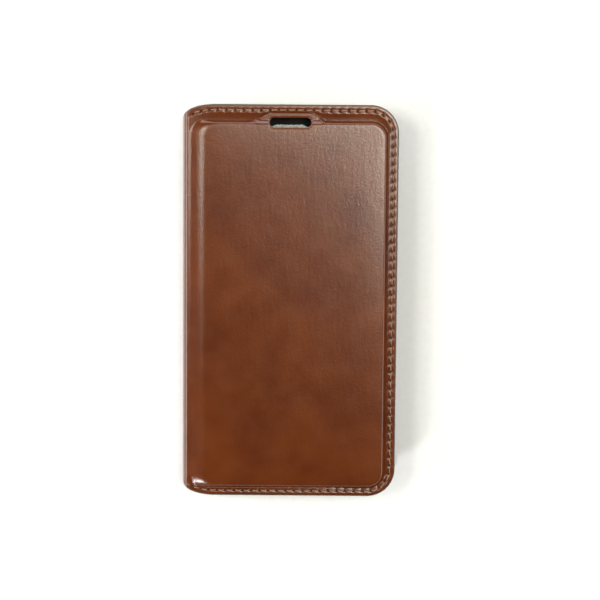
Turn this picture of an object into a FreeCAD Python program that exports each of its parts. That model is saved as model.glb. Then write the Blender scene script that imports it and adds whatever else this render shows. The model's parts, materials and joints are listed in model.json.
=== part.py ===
import FreeCAD, Part
import math
import os

# Book-style phone wallet case, closed and lying on its back cover. Millimetres.
# +X points to the free edge, -X to the spine, +Y to the end with the earpiece slot, +Z up.
# The origin is under the middle of the case, on the surface that it rests on.

os.makedirs("parts", exist_ok=True)

V = FreeCAD.Vector

# ---- the whole case ---------------------------------------------------------------
LENGTH = 152.5          # along Y
WIDTH = 83.4            # along X, from the spine's outer face to the free edge
THICKNESS = 18.0        # closed
CORNER_R = 10.8         # corners at the free edge
WAIST_REACH = 13.0      # how far the drop of the ends towards the spine reaches along X
WAIST_DROP = 5.5        # how much shorter the spine is than the covers, at each end

LEFT = -WIDTH / 2
RIGHT = WIDTH / 2
TOP = LENGTH / 2
BOTTOM = -LENGTH / 2
WAIST_START = LEFT + WAIST_REACH

# ---- sheet thicknesses ------------------------------------------------------------
LEATHER = 0.8
BOARD = 1.0
LINING = 0.6
POCKET = 0.6
ADHESIVE = 0.2

# ---- heights of the layers, from the ground up ------------------------------------
BACK_MARGIN_Z = 1.0                              # the sewn margin stands off the ground
BACK_BOARD_Z = BACK_MARGIN_Z + LEATHER - BOARD
BACK_LINING_Z = BACK_MARGIN_Z + LEATHER
PAD_Z = BACK_LINING_Z + LINING
SHELL_Z = PAD_Z + ADHESIVE
FRONT_MARGIN_TOP = 15.8                          # outer face of the front cover's sewn margin
FRONT_LEATHER_Z = FRONT_MARGIN_TOP - LEATHER
FRONT_LINING_Z = FRONT_LEATHER_Z - LINING
CASH_Z = FRONT_LINING_Z - POCKET
FOAM = 1.2
FOAM_Z = FRONT_LEATHER_Z + BOARD

# ---- the fold at the spine --------------------------------------------------------
FOLD_R = 2.2                                     # outer radius of the leather's bends
FOLD_X = LEFT + 3.0                              # where the covers turn flat
FOLD_GAP = 0.5                                   # the covers' sheets start this far from the bend
COVER_LEFT = FOLD_X + FOLD_GAP
LOW_FOLD_Z = BACK_MARGIN_Z + FOLD_R
HIGH_FOLD_Z = FRONT_MARGIN_TOP - FOLD_R
SPINE_MID_Z = (LOW_FOLD_Z + HIGH_FOLD_Z) / 2

# Between its bends the spine bulges in one large arc that meets both bends smoothly.
BEND_RISE = HIGH_FOLD_Z - SPINE_MID_Z            # from the large arc's centre to a bend's
BEND_BACK = FOLD_X - FOLD_R - LEFT               # how far the bulge stands past a bend
CENTRES_APART = (BEND_RISE ** 2 + BEND_BACK ** 2) / (2 * BEND_BACK)
SPINE_R = CENTRES_APART + FOLD_R
SPINE_CENTRE_X = LEFT + SPINE_R
JOIN_ANGLE = math.asin(BEND_RISE / CENTRES_APART)

SPINE_BOARD = 0.8
SPINE_BOARD_HALF_Y = 66.0
SPINE_BOARD_HALF_Z = 4.0
SPINE_LINING_HALF_Y = 69.5
SPINE_LINING_HALF_Z = 4.6

# ---- raised panel of the covers: (x from, x to, y from, y to, corner radius) -------
BOARD_RECT = (-36.7, 36.8, -72.2, 69.3, 5.6)
PANEL_FOOT = (-37.7, 37.7, -73.1, 70.2, 6.4)     # where the leather starts to rise
PANEL_CREST = (-32.0, 36.3, -71.6, 68.7, 5.2)    # where it is at full height
FOAM_FOOT = (-35.6, 36.5, -72.0, 69.1, 5.4)
FOAM_CREST = (-31.8, 35.6, -71.0, 68.1, 4.6)
BACK_CREST = (-36.9, 36.9, -72.3, 69.4, 5.7)

# ---- earpiece slot in the front cover ---------------------------------------------
SLOT_LONG = 16.1
SLOT_HIGH = 3.65
SLOT_Y = TOP - 6.9

# The board reaches round the slot in a short tongue, and the leather rises over it.
TONGUE_BOARD = (-9.8, 9.8, 60.0, 72.2, 1.8)
TONGUE_FOOT = (-11.0, 11.0, 60.0, 73.1, 2.7)
TONGUE_CREST = (-10.2, 10.2, 60.0, 72.4, 2.1)
TONGUE_THICK = 0.5      # the board is pared down there
TONGUE_RISE = 0.75

# ---- phone shell: a moulded tray that grips a phone of 143.4 x 72.4 x 7.4 ----------
SHELL_X = (-37.8, 38.8)
SHELL_HALF_Y = 73.5
SHELL_R = 8.0
BAY_X = (-36.2, 36.4)
BAY_HALF_Y = 71.9
BAY_R = 7.0
SHELL_FLOOR = 1.0
BAY_DEPTH = 7.5
LIP_OVERHANG = 0.8
LIP = 0.6
BAY_Z = SHELL_Z + SHELL_FLOOR
LIP_Z = BAY_Z + BAY_DEPTH
SHELL_TOP = LIP_Z + LIP
PORT_Z = BAY_Z + 0.5 * BAY_DEPTH

CAMERA = (-8.0, 8.0, 38.5, 65.5, 5.0)            # camera and flash opening through the back
CAMERA_SHELL_INSET = 0.6                         # the shell shows as a rim inside the leather
PORT_LONG = 13.0
PORT_HIGH = 6.0
JACK_X = 18.0
JACK_R = 3.25
MIC_R = 0.9
BUMP_OUT = 0.5
BUMP_HIGH = 3.2
BUMPS = (("left", 28.0, 21.0), ("right", 32.0, 10.0))   # side, middle along Y, length

# ---- closure: two bar magnets in the front cover, two steel strips in the shell ---
CLOSURE_Y = (34.0, -34.0)
MAGNET = (4.0, 20.0, BOARD)
MAGNET_X = 34.0
KEEPER = (0.6, 22.0, 4.6)
KEEPER_X = 37.6
KEEPER_Z = 6.0

# ---- pockets inside the front cover -----------------------------------------------
CASH_MOUTH_X = -30.0
CARD_MOUTH_X = (-21.0, -12.0, -3.0)              # one step per card
CARD_PANEL_END_X = RIGHT - 2.6
CARD_PANEL_Y = (-50.0, 46.0)
CARD_PANEL_R = 2.0

# ---- stitching --------------------------------------------------------------------
STITCH_PITCH = 3.35
STITCH_LENGTH = 2.5
THREAD_R = 0.22
SEAM_SIDE = 2.2                                  # seam's distance from the free edge
SEAM_TOP = 2.3
SEAM_BOTTOM = 2.2
SEAM_R = 8.5
SEAM_START_X = FOLD_X + 1.5
POCKET_SEAM_INSET = 1.8
POCKET_SEAM_X = (CARD_MOUTH_X[2] + 2.0, 34.0)


def waist_drop(x):
    """How far the end of the case has dropped at this x, on a quarter of an ellipse."""
    reach = max(0.0, WAIST_START - x) / WAIST_REACH
    return WAIST_DROP * (1.0 - math.sqrt(max(0.0, 1.0 - reach * reach)))


def line(a, b):
    return Part.LineSegment(a, b).toShape()


def arc(centre, radius, start, end):
    """An arc about a vertical axis, from start to end degrees."""
    circle = Part.Circle(centre, V(0, 0, 1), radius)
    return Part.ArcOfCircle(circle, math.radians(start), math.radians(end)).toShape()


def waist_arc(centre, start, end):
    ellipse = Part.Ellipse(centre, WAIST_REACH, WAIST_DROP)
    return Part.ArcOfEllipse(ellipse, math.radians(start), math.radians(end)).toShape()


def case_prism(z, height):
    """The outline of the whole case, raised from z by height."""
    high = TOP - WAIST_DROP
    low = BOTTOM + WAIST_DROP
    inner = RIGHT - CORNER_R
    edges = [
        waist_arc(V(WAIST_START, high, z), 90, 180),
        line(V(LEFT, high, z), V(LEFT, low, z)),
        waist_arc(V(WAIST_START, low, z), 180, 270),
        line(V(WAIST_START, BOTTOM, z), V(inner, BOTTOM, z)),
        arc(V(inner, BOTTOM + CORNER_R, z), CORNER_R, 270, 360),
        line(V(RIGHT, BOTTOM + CORNER_R, z), V(RIGHT, TOP - CORNER_R, z)),
        arc(V(inner, TOP - CORNER_R, z), CORNER_R, 0, 90),
        line(V(inner, TOP, z), V(WAIST_START, TOP, z)),
    ]
    return Part.Face(Part.Wire(edges)).extrude(V(0, 0, height))


def box(x0, x1, y0, y1, z0, z1):
    return Part.makeBox(x1 - x0, y1 - y0, z1 - z0, V(x0, y0, z0))


def cover_sheet(z, height, left=COVER_LEFT):
    """A sheet with the case's outline that stops at x = left, on the spine's side."""
    return case_prism(z, height).common(box(left, RIGHT + 1, BOTTOM - 1, TOP + 1, z, z + height))


def rect_wire(rect, z):
    """A rounded rectangle given as (x from, x to, y from, y to, radius)."""
    x0, x1, y0, y1, r = rect
    edges = [
        line(V(x0 + r, y0, z), V(x1 - r, y0, z)),
        arc(V(x1 - r, y0 + r, z), r, 270, 360),
        line(V(x1, y0 + r, z), V(x1, y1 - r, z)),
        arc(V(x1 - r, y1 - r, z), r, 0, 90),
        line(V(x1 - r, y1, z), V(x0 + r, y1, z)),
        arc(V(x0 + r, y1 - r, z), r, 90, 180),
        line(V(x0, y1 - r, z), V(x0, y0 + r, z)),
        arc(V(x0 + r, y0 + r, z), r, 180, 270),
    ]
    return Part.Wire(edges)


def rect_prism(rect, z, height):
    return Part.Face(rect_wire(rect, z)).extrude(V(0, 0, height))


def rect_taper(low, low_z, high, high_z):
    """A solid that goes straight from one rounded rectangle to another above it."""
    return Part.makeLoft([rect_wire(low, low_z), rect_wire(high, high_z)], True, True)


def inset(rect, by):
    x0, x1, y0, y1, r = rect
    return (x0 + by, x1 - by, y0 + by, y1 - by, r - by)


def pill(length, height, centre, normal, depth):
    """A rod with a pill-shaped section, its long side along X, centred on a point."""
    half = (length - height) / 2
    r = height / 2
    start = centre - normal * (depth / 2)
    side = V(1, 0, 0) * half
    up = normal.cross(V(1, 0, 0)) * r
    wide = V(1, 0, 0) * (half + r)
    edges = [
        line(start - side + up, start + side + up),
        Part.Arc(start + side + up, start + wide, start + side - up).toShape(),
        line(start + side - up, start - side - up),
        Part.Arc(start - side - up, start - wide, start - side + up).toShape(),
    ]
    return Part.Face(Part.Wire(edges)).extrude(normal * depth)


def earpiece_slot():
    return pill(SLOT_LONG, SLOT_HIGH, V(0, SLOT_Y, THICKNESS - 3), V(0, 0, 1), 8)


def camera_hole():
    return rect_prism(CAMERA, -1.0, SHELL_Z + 1.0)


def rod(a, b, radius):
    """One stitch: a round thread with round ends, lying from a to b."""
    along = b - a
    body = Part.makeCylinder(radius, along.Length, a, along)
    return body.fuse([Part.makeSphere(radius, a), Part.makeSphere(radius, b)]).removeSplitter()


def stitches(wire, z):
    """Stitches end to end along a wire, at the height of the wire's thread centre."""
    count = int(round(wire.Length / STITCH_PITCH))
    holes = wire.discretize(Number=count + 1)
    made = []
    for i in range(count):
        middle = (holes[i] + holes[i + 1]) * 0.5
        along = (holes[i + 1] - holes[i]).normalize()
        half = along * (STITCH_LENGTH / 2 - THREAD_R)
        lift = V(0, 0, z)
        made.append(rod(middle - half + lift, middle + half + lift, THREAD_R))
    return Part.makeCompound(made)


def seam_wire():
    """The seam round the two ends and the free edge of a cover, open at the spine."""
    x_side = RIGHT - SEAM_SIDE
    y_top = TOP - SEAM_TOP
    y_low = BOTTOM + SEAM_BOTTOM
    x_mid = (SEAM_START_X + WAIST_START) / 2

    def dropped(x, y, sign):
        return V(x, y - sign * waist_drop(x), 0)

    edges = [
        Part.Arc(
            dropped(SEAM_START_X, y_top, 1),
            dropped(x_mid, y_top, 1),
            V(WAIST_START, y_top, 0),
        ).toShape(),
        line(V(WAIST_START, y_top, 0), V(x_side - SEAM_R, y_top, 0)),
        arc(V(x_side - SEAM_R, y_top - SEAM_R, 0), SEAM_R, 0, 90),
        line(V(x_side, y_top - SEAM_R, 0), V(x_side, y_low + SEAM_R, 0)),
        arc(V(x_side - SEAM_R, y_low + SEAM_R, 0), SEAM_R, 270, 360),
        line(V(x_side - SEAM_R, y_low, 0), V(WAIST_START, y_low, 0)),
        Part.Arc(
            V(WAIST_START, y_low, 0),
            dropped(x_mid, y_low, -1),
            dropped(SEAM_START_X, y_low, -1),
        ).toShape(),
    ]
    return Part.Wire(Part.__sortEdges__(edges))


# ---- back cover -------------------------------------------------------------------

def back_leather():
    """The outer skin of the back: a low panel over the board, inside a sewn margin."""
    margin = cover_sheet(BACK_MARGIN_Z, LEATHER)
    panel = rect_taper(BACK_CREST, 0.0, PANEL_FOOT, BACK_MARGIN_Z)
    skin = margin.fuse(panel).removeSplitter()
    return skin.cut(rect_prism(BOARD_RECT, BACK_BOARD_Z, BOARD)).cut(camera_hole())


def back_board():
    return rect_prism(BOARD_RECT, BACK_BOARD_Z, BOARD).cut(camera_hole())


def back_lining():
    return cover_sheet(BACK_LINING_Z, LINING).cut(camera_hole())


def shell_adhesive_pad():
    pad = inset((SHELL_X[0], SHELL_X[1], -SHELL_HALF_Y, SHELL_HALF_Y, SHELL_R), 4.0)
    return rect_prism(pad, PAD_Z, ADHESIVE).cut(rect_prism(inset(CAMERA, -2.0), PAD_Z - 1, 2))


def button_bump(side, middle, length):
    """A raised pill on the shell's side wall that passes a push on to the phone's key."""
    face_x = SHELL_X[0] if side == "left" else SHELL_X[1]
    outward = -1.0 if side == "left" else 1.0
    bump = pill(length, BUMP_HIGH, V(0, 0, 0), V(0, 1, 0), 2 * BUMP_OUT)
    bump.rotate(V(0, 0, 0), V(0, 0, 1), 90.0)
    bump.translate(V(face_x, middle, PORT_Z))
    reach = box(
        min(face_x, face_x + outward * 2), max(face_x, face_x + outward * 2),
        middle - length, middle + length, SHELL_Z, SHELL_TOP,
    )
    return bump.common(reach)


def keeper(y):
    return box(
        KEEPER_X - KEEPER[0] / 2, KEEPER_X + KEEPER[0] / 2,
        y - KEEPER[1] / 2, y + KEEPER[1] / 2, KEEPER_Z, KEEPER_Z + KEEPER[2],
    )


def phone_shell():
    """The tray: floor, four walls with a lip that snaps over the phone, and its ports."""
    bay = (BAY_X[0], BAY_X[1], -BAY_HALF_Y, BAY_HALF_Y, BAY_R)
    outer = (SHELL_X[0], SHELL_X[1], -SHELL_HALF_Y, SHELL_HALF_Y, SHELL_R)
    shell = rect_prism(outer, SHELL_Z, SHELL_TOP - SHELL_Z)
    shell = shell.makeFillet(0.5, [e for e in shell.Edges if e.BoundBox.ZMin > SHELL_TOP - 0.01])
    shell = shell.cut(rect_prism(bay, BAY_Z, BAY_DEPTH))
    shell = shell.cut(rect_prism(inset(bay, LIP_OVERHANG), LIP_Z - 1, LIP + 2))
    for side, middle, length in BUMPS:
        shell = shell.fuse(button_bump(side, middle, length))
    holes = [
        rect_prism(inset(CAMERA, CAMERA_SHELL_INSET), SHELL_Z - 1, SHELL_FLOOR + 2),
        pill(PORT_LONG, PORT_HIGH, V(0, -SHELL_HALF_Y, PORT_Z), V(0, 1, 0), 6),
        Part.makeCylinder(JACK_R, 6, V(JACK_X, SHELL_HALF_Y - 3, PORT_Z), V(0, 1, 0)),
        Part.makeCylinder(MIC_R, 6, V(-JACK_X, SHELL_HALF_Y - 3, PORT_Z), V(0, 1, 0)),
        Part.makeCylinder(MIC_R, 6, V(JACK_X, -SHELL_HALF_Y - 3, PORT_Z), V(0, 1, 0)),
        keeper(CLOSURE_Y[0]),
        keeper(CLOSURE_Y[1]),
    ]
    return shell.cut(holes)


# ---- spine ------------------------------------------------------------------------

def spine_outline(depth):
    """The spine's section at one depth under its outer face: a bend, the bulge, a bend."""
    bend_r = FOLD_R - depth
    face_r = SPINE_R - depth
    edges = []
    for up, fold_z in ((-1.0, LOW_FOLD_Z), (1.0, HIGH_FOLD_Z)):
        halfway = (math.pi / 2 + JOIN_ANGLE) / 2
        flat_end = V(FOLD_X, 0, fold_z + up * bend_r)
        middle = V(FOLD_X - bend_r * math.cos(halfway), 0, fold_z + up * bend_r * math.sin(halfway))
        join = V(
            FOLD_X - bend_r * math.cos(JOIN_ANGLE), 0,
            fold_z + up * bend_r * math.sin(JOIN_ANGLE),
        )
        edges.append(Part.Arc(flat_end, middle, join).toShape())
    edges.append(curved_line(face_r, join.z - SPINE_MID_Z))
    return edges


def curved_line(radius, half_height):
    """An arc about the spine's centre of bulge, from half_height below its middle to above."""
    x = SPINE_CENTRE_X - math.sqrt(radius ** 2 - half_height ** 2)
    return Part.Arc(
        V(x, 0, SPINE_MID_Z - half_height),
        V(SPINE_CENTRE_X - radius, 0, SPINE_MID_Z),
        V(x, 0, SPINE_MID_Z + half_height),
    ).toShape()


def spine_leather():
    """The same skin as the covers, bent round the spine; it is shorter than they are."""
    ends = []
    for up, fold_z in ((-1.0, LOW_FOLD_Z), (1.0, HIGH_FOLD_Z)):
        outer = V(FOLD_X, 0, fold_z + up * FOLD_R)
        ends.append(line(outer, V(FOLD_X, 0, fold_z + up * (FOLD_R - LEATHER))))
    edges = spine_outline(0.0) + spine_outline(LEATHER) + ends
    section = Part.Face(Part.Wire(Part.__sortEdges__(edges)))
    section.translate(V(0, BOTTOM, 0))
    return section.extrude(V(0, LENGTH, 0)).common(case_prism(0, THICKNESS))


def curved_plate(depth, thickness, half_height, half_length):
    """A plate that follows the spine's bulge, its outer face this deep under the leather's."""
    outer = curved_line(SPINE_R - depth, half_height)
    inner = curved_line(SPINE_R - depth - thickness, half_height)
    ends = [
        line(outer.Vertexes[0].Point, inner.Vertexes[0].Point),
        line(outer.Vertexes[-1].Point, inner.Vertexes[-1].Point),
    ]
    section = Part.Face(Part.Wire(Part.__sortEdges__([outer, inner] + ends)))
    section.translate(V(0, -half_length, 0))
    return section.extrude(V(0, 2 * half_length, 0))


def spine_board():
    return curved_plate(LEATHER, SPINE_BOARD, SPINE_BOARD_HALF_Z, SPINE_BOARD_HALF_Y)


def spine_lining():
    depth = LEATHER + SPINE_BOARD
    return curved_plate(depth, LINING, SPINE_LINING_HALF_Z, SPINE_LINING_HALF_Y)


# ---- front cover ------------------------------------------------------------------

def front_panel():
    panel = rect_taper(PANEL_FOOT, FRONT_MARGIN_TOP, PANEL_CREST, THICKNESS)
    tongue_top = FRONT_MARGIN_TOP + TONGUE_RISE
    return panel.fuse(rect_taper(TONGUE_FOOT, FRONT_MARGIN_TOP, TONGUE_CREST, tongue_top))


def whole_front_board():
    """The front board before its slot and its magnet pockets are cut."""
    board = rect_prism(BOARD_RECT, FRONT_LEATHER_Z, BOARD)
    tongue = rect_prism(TONGUE_BOARD, FRONT_LEATHER_Z, TONGUE_THICK)
    return board.fuse(tongue).removeSplitter()


def foam_block():
    return rect_taper(FOAM_FOOT, FOAM_Z, FOAM_CREST, FOAM_Z + FOAM)


def magnet(y):
    return box(
        MAGNET_X - MAGNET[0] / 2, MAGNET_X + MAGNET[0] / 2,
        y - MAGNET[1] / 2, y + MAGNET[1] / 2, FRONT_LEATHER_Z, FRONT_LEATHER_Z + MAGNET[2],
    )


def front_leather():
    """The outer skin of the front, drawn down over the foam to the sewn margin."""
    skin = cover_sheet(FRONT_LEATHER_Z, LEATHER).fuse(front_panel()).removeSplitter()
    return skin.cut([whole_front_board(), foam_block(), earpiece_slot()])


def front_foam():
    return foam_block().cut(earpiece_slot())


def front_board():
    cuts = [earpiece_slot(), magnet(CLOSURE_Y[0]), magnet(CLOSURE_Y[1])]
    return whole_front_board().cut(cuts)


def front_lining():
    return cover_sheet(FRONT_LINING_Z, LINING).cut(earpiece_slot())


def cash_pocket_panel():
    return cover_sheet(CASH_Z, POCKET, CASH_MOUTH_X).cut(earpiece_slot())


def card_pocket_panel(number):
    """Card panel 1 lies against the cash panel, and each next one is a step shorter."""
    rect = (CARD_MOUTH_X[number - 1], CARD_PANEL_END_X) + CARD_PANEL_Y + (CARD_PANEL_R,)
    return rect_prism(rect, CASH_Z - number * POCKET, POCKET)


def pocket_stitches():
    """Two short rows that hold the ends of the card panels to the cash panel."""
    z = CASH_Z - len(CARD_MOUTH_X) * POCKET - THREAD_R
    rows = []
    for y in (CARD_PANEL_Y[0] + POCKET_SEAM_INSET, CARD_PANEL_Y[1] - POCKET_SEAM_INSET):
        row = Part.Wire([line(V(POCKET_SEAM_X[0], y, 0), V(POCKET_SEAM_X[1], y, 0))])
        rows.extend(stitches(row, z).Solids)
    return Part.makeCompound(rows)


NODES = {
    "back_leather": back_leather(),
    "back_board": back_board(),
    "back_lining": back_lining(),
    "back_stitches": stitches(seam_wire(), BACK_MARGIN_Z - THREAD_R),
    "shell_adhesive_pad": shell_adhesive_pad(),
    "phone_shell": phone_shell(),
    "shell_keeper_upper": keeper(CLOSURE_Y[0]),
    "shell_keeper_lower": keeper(CLOSURE_Y[1]),
    "spine_leather": spine_leather(),
    "spine_board": spine_board(),
    "spine_lining": spine_lining(),
    "front_leather": front_leather(),
    "front_foam": front_foam(),
    "front_board": front_board(),
    "front_magnet_upper": magnet(CLOSURE_Y[0]),
    "front_magnet_lower": magnet(CLOSURE_Y[1]),
    "front_lining": front_lining(),
    "front_stitches": stitches(seam_wire(), FRONT_MARGIN_TOP + THREAD_R),
    "cash_pocket_panel": cash_pocket_panel(),
    "card_pocket_panel_1": card_pocket_panel(1),
    "card_pocket_panel_2": card_pocket_panel(2),
    "card_pocket_panel_3": card_pocket_panel(3),
    "pocket_stitches": pocket_stitches(),
}

for name, shape in NODES.items():
    shape.exportStep("parts/" + name + ".step")
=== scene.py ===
# %% [markdown]
# # A leather phone wallet case, closed
# The case is a small book: a front cover, a spine and a back cover wrapped in one sheet of coated leather.
# A moulded tray inside grips the phone, and pockets under the front cover hold cards.
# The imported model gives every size, so each new sheet is laid exactly where the plain one was.

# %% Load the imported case
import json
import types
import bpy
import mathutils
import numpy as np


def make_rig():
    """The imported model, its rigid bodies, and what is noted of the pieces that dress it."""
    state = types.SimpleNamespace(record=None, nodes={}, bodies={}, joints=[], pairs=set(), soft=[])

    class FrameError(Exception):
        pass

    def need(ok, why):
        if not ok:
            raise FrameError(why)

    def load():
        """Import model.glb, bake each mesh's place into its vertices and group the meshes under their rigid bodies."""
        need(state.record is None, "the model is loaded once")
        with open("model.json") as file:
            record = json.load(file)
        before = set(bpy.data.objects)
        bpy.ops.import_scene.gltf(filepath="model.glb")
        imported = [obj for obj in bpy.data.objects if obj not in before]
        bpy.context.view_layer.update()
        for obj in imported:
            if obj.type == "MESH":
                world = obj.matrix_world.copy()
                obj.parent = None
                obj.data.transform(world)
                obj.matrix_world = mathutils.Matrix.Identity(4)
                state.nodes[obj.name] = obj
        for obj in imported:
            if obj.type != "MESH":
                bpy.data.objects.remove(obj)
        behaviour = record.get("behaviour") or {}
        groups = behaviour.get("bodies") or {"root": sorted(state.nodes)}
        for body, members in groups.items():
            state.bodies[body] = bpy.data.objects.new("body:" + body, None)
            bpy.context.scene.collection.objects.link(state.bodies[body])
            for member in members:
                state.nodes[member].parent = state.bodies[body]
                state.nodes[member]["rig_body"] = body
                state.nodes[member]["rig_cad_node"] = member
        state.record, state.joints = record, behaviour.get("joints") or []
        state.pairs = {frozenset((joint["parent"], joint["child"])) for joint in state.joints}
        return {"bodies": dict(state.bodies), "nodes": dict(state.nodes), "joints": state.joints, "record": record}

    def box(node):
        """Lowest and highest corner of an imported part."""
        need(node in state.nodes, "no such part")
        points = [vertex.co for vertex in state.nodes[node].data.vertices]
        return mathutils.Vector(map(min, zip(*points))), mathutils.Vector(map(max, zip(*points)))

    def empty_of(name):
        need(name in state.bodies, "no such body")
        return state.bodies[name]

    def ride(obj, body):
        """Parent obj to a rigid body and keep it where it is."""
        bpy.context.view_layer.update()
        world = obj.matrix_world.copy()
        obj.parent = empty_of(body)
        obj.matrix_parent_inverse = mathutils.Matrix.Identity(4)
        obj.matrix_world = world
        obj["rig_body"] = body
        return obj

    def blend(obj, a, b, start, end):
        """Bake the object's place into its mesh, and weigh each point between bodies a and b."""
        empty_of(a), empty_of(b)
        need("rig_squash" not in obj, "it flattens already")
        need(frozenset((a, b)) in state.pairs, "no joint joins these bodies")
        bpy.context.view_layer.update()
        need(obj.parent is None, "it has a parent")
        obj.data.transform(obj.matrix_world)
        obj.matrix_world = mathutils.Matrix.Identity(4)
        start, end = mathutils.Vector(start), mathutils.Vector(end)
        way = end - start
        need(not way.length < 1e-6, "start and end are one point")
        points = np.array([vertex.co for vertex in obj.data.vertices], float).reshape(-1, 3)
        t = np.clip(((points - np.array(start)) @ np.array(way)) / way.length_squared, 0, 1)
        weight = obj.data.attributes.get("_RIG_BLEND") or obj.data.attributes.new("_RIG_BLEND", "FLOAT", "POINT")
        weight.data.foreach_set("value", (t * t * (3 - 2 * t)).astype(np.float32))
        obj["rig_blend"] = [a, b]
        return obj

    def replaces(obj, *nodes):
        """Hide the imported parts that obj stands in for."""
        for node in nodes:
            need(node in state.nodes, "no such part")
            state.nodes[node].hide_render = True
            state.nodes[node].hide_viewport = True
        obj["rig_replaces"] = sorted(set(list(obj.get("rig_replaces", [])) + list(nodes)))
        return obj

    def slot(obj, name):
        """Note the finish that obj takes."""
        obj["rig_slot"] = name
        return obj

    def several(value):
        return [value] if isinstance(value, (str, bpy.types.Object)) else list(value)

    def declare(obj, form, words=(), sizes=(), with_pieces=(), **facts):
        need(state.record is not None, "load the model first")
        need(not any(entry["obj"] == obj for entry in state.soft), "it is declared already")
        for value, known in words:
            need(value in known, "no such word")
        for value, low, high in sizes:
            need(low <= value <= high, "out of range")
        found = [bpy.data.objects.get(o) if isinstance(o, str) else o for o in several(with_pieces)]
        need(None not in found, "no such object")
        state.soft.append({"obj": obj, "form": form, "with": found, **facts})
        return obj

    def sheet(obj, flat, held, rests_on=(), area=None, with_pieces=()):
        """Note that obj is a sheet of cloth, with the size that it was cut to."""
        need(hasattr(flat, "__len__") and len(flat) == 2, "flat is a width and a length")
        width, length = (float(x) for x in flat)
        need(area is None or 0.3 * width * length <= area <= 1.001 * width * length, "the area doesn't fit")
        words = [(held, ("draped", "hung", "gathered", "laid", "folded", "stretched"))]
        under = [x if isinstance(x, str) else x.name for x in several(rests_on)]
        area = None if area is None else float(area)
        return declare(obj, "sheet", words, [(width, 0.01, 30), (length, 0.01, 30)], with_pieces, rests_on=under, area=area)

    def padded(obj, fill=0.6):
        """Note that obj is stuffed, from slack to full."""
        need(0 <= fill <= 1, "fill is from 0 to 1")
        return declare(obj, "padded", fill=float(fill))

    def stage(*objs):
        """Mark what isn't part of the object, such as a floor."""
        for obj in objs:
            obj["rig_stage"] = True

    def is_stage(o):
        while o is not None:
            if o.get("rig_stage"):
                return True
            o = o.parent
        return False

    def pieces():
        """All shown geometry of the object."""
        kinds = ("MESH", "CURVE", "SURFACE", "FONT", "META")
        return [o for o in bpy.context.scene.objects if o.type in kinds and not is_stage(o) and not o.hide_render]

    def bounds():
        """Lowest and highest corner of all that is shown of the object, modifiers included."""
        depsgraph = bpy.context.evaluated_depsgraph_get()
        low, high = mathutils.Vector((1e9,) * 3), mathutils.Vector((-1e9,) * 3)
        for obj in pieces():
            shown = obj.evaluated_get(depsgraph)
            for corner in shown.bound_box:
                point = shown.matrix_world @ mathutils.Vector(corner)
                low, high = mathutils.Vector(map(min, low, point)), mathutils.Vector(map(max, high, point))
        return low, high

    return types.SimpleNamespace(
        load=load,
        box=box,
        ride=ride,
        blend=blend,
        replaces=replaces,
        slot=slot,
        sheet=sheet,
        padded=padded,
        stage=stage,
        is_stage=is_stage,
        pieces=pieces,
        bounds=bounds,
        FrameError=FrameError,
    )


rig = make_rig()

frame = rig.load()

import json

import bpy
import numpy as np
from mathutils import Matrix, Vector
from mathutils.geometry import delaunay_2d_cdt

packed_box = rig.bounds()
MM = 0.001


def size_of(node):
    """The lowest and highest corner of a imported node, in millimetres."""
    low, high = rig.box(node)
    return np.array(low) / MM, np.array(high) / MM


leather_low, leather_high = size_of("front_leather")
spine_low, spine_high = size_of("spine_leather")
lining_low, lining_high = size_of("front_lining")
cash_low = size_of("cash_pocket_panel")[0]
foam_low, foam_high = size_of("front_foam")

LEFT, RIGHT = spine_low[0], leather_high[0]
TOP = leather_high[1]
FOLD_X = spine_high[0]
MARGIN_Z = spine_high[2]
MIDDLE_Z = (spine_low[2] + spine_high[2]) / 2
SKIN = MARGIN_Z - leather_low[2]
LINING = lining_high[2] - lining_low[2]
print("case, mm:", RIGHT - LEFT, "x", 2 * TOP, "x", leather_high[2])

# %% [markdown]
# ## How a flat sheet goes round the spine
# Leather doesn't stretch much, so the covers and the spine are drawn as one flat sheet and then bent.
# A point on the flat sheet has a distance across it, a distance along it, and a lift off its face.
# Seen from the end, the way round the spine is a flat part, a tight bend, and the spine's own wide bulge.
# Working in flat coordinates keeps the stitches and the grain even right through the bend.

# %% The bend at the spine
BEND_R = 2.2
bulge_back = FOLD_X - BEND_R - LEFT
bulge_rise = MARGIN_Z - BEND_R - MIDDLE_Z
BULGE_R = (bulge_rise ** 2 + bulge_back ** 2) / (2 * bulge_back) + BEND_R
BULGE_X = LEFT + BULGE_R


def make_fold(level, bend_r, bulge_r):
    """The way of one sheet: its flat height, its bend's radius and its bulge's radius.

    Both arcs share a tangent where they join, which fixes the join's angle and the bend's place.
    """
    apart = bulge_r - bend_r
    join = np.arcsin((level - MIDDLE_Z - bend_r) / apart)
    bend_x = BULGE_X - apart * np.cos(join)
    bend_length = bend_r * (np.pi / 2 - join)
    end = bend_x - bend_length - bulge_r * join
    return dict(level=level, bend_r=bend_r, bulge_r=bulge_r, join=join,
                bend_x=bend_x, bend_length=bend_length, end=end)


def carry(fold, across, lift):
    """x and z of flat-sheet points: straight, then round the bend, then round the bulge."""
    past = np.maximum(fold["bend_x"] - across, 0.0)
    turned = np.minimum(past, fold["bend_length"]) / fold["bend_r"]
    travelled = np.maximum(past - fold["bend_length"], 0.0) / fold["bulge_r"]
    bend = fold["bend_r"] + lift
    bulge = fold["bulge_r"] + lift
    height = fold["join"] - travelled
    x = np.where(past > 0, fold["bend_x"] - bend * np.sin(turned), across)
    z = fold["level"] - fold["bend_r"] + bend * np.cos(turned)
    on_bulge = travelled > 0
    x = np.where(on_bulge, BULGE_X - bulge * np.cos(height), x)
    z = np.where(on_bulge, MIDDLE_Z + bulge * np.sin(height), z)
    return x, z


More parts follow.
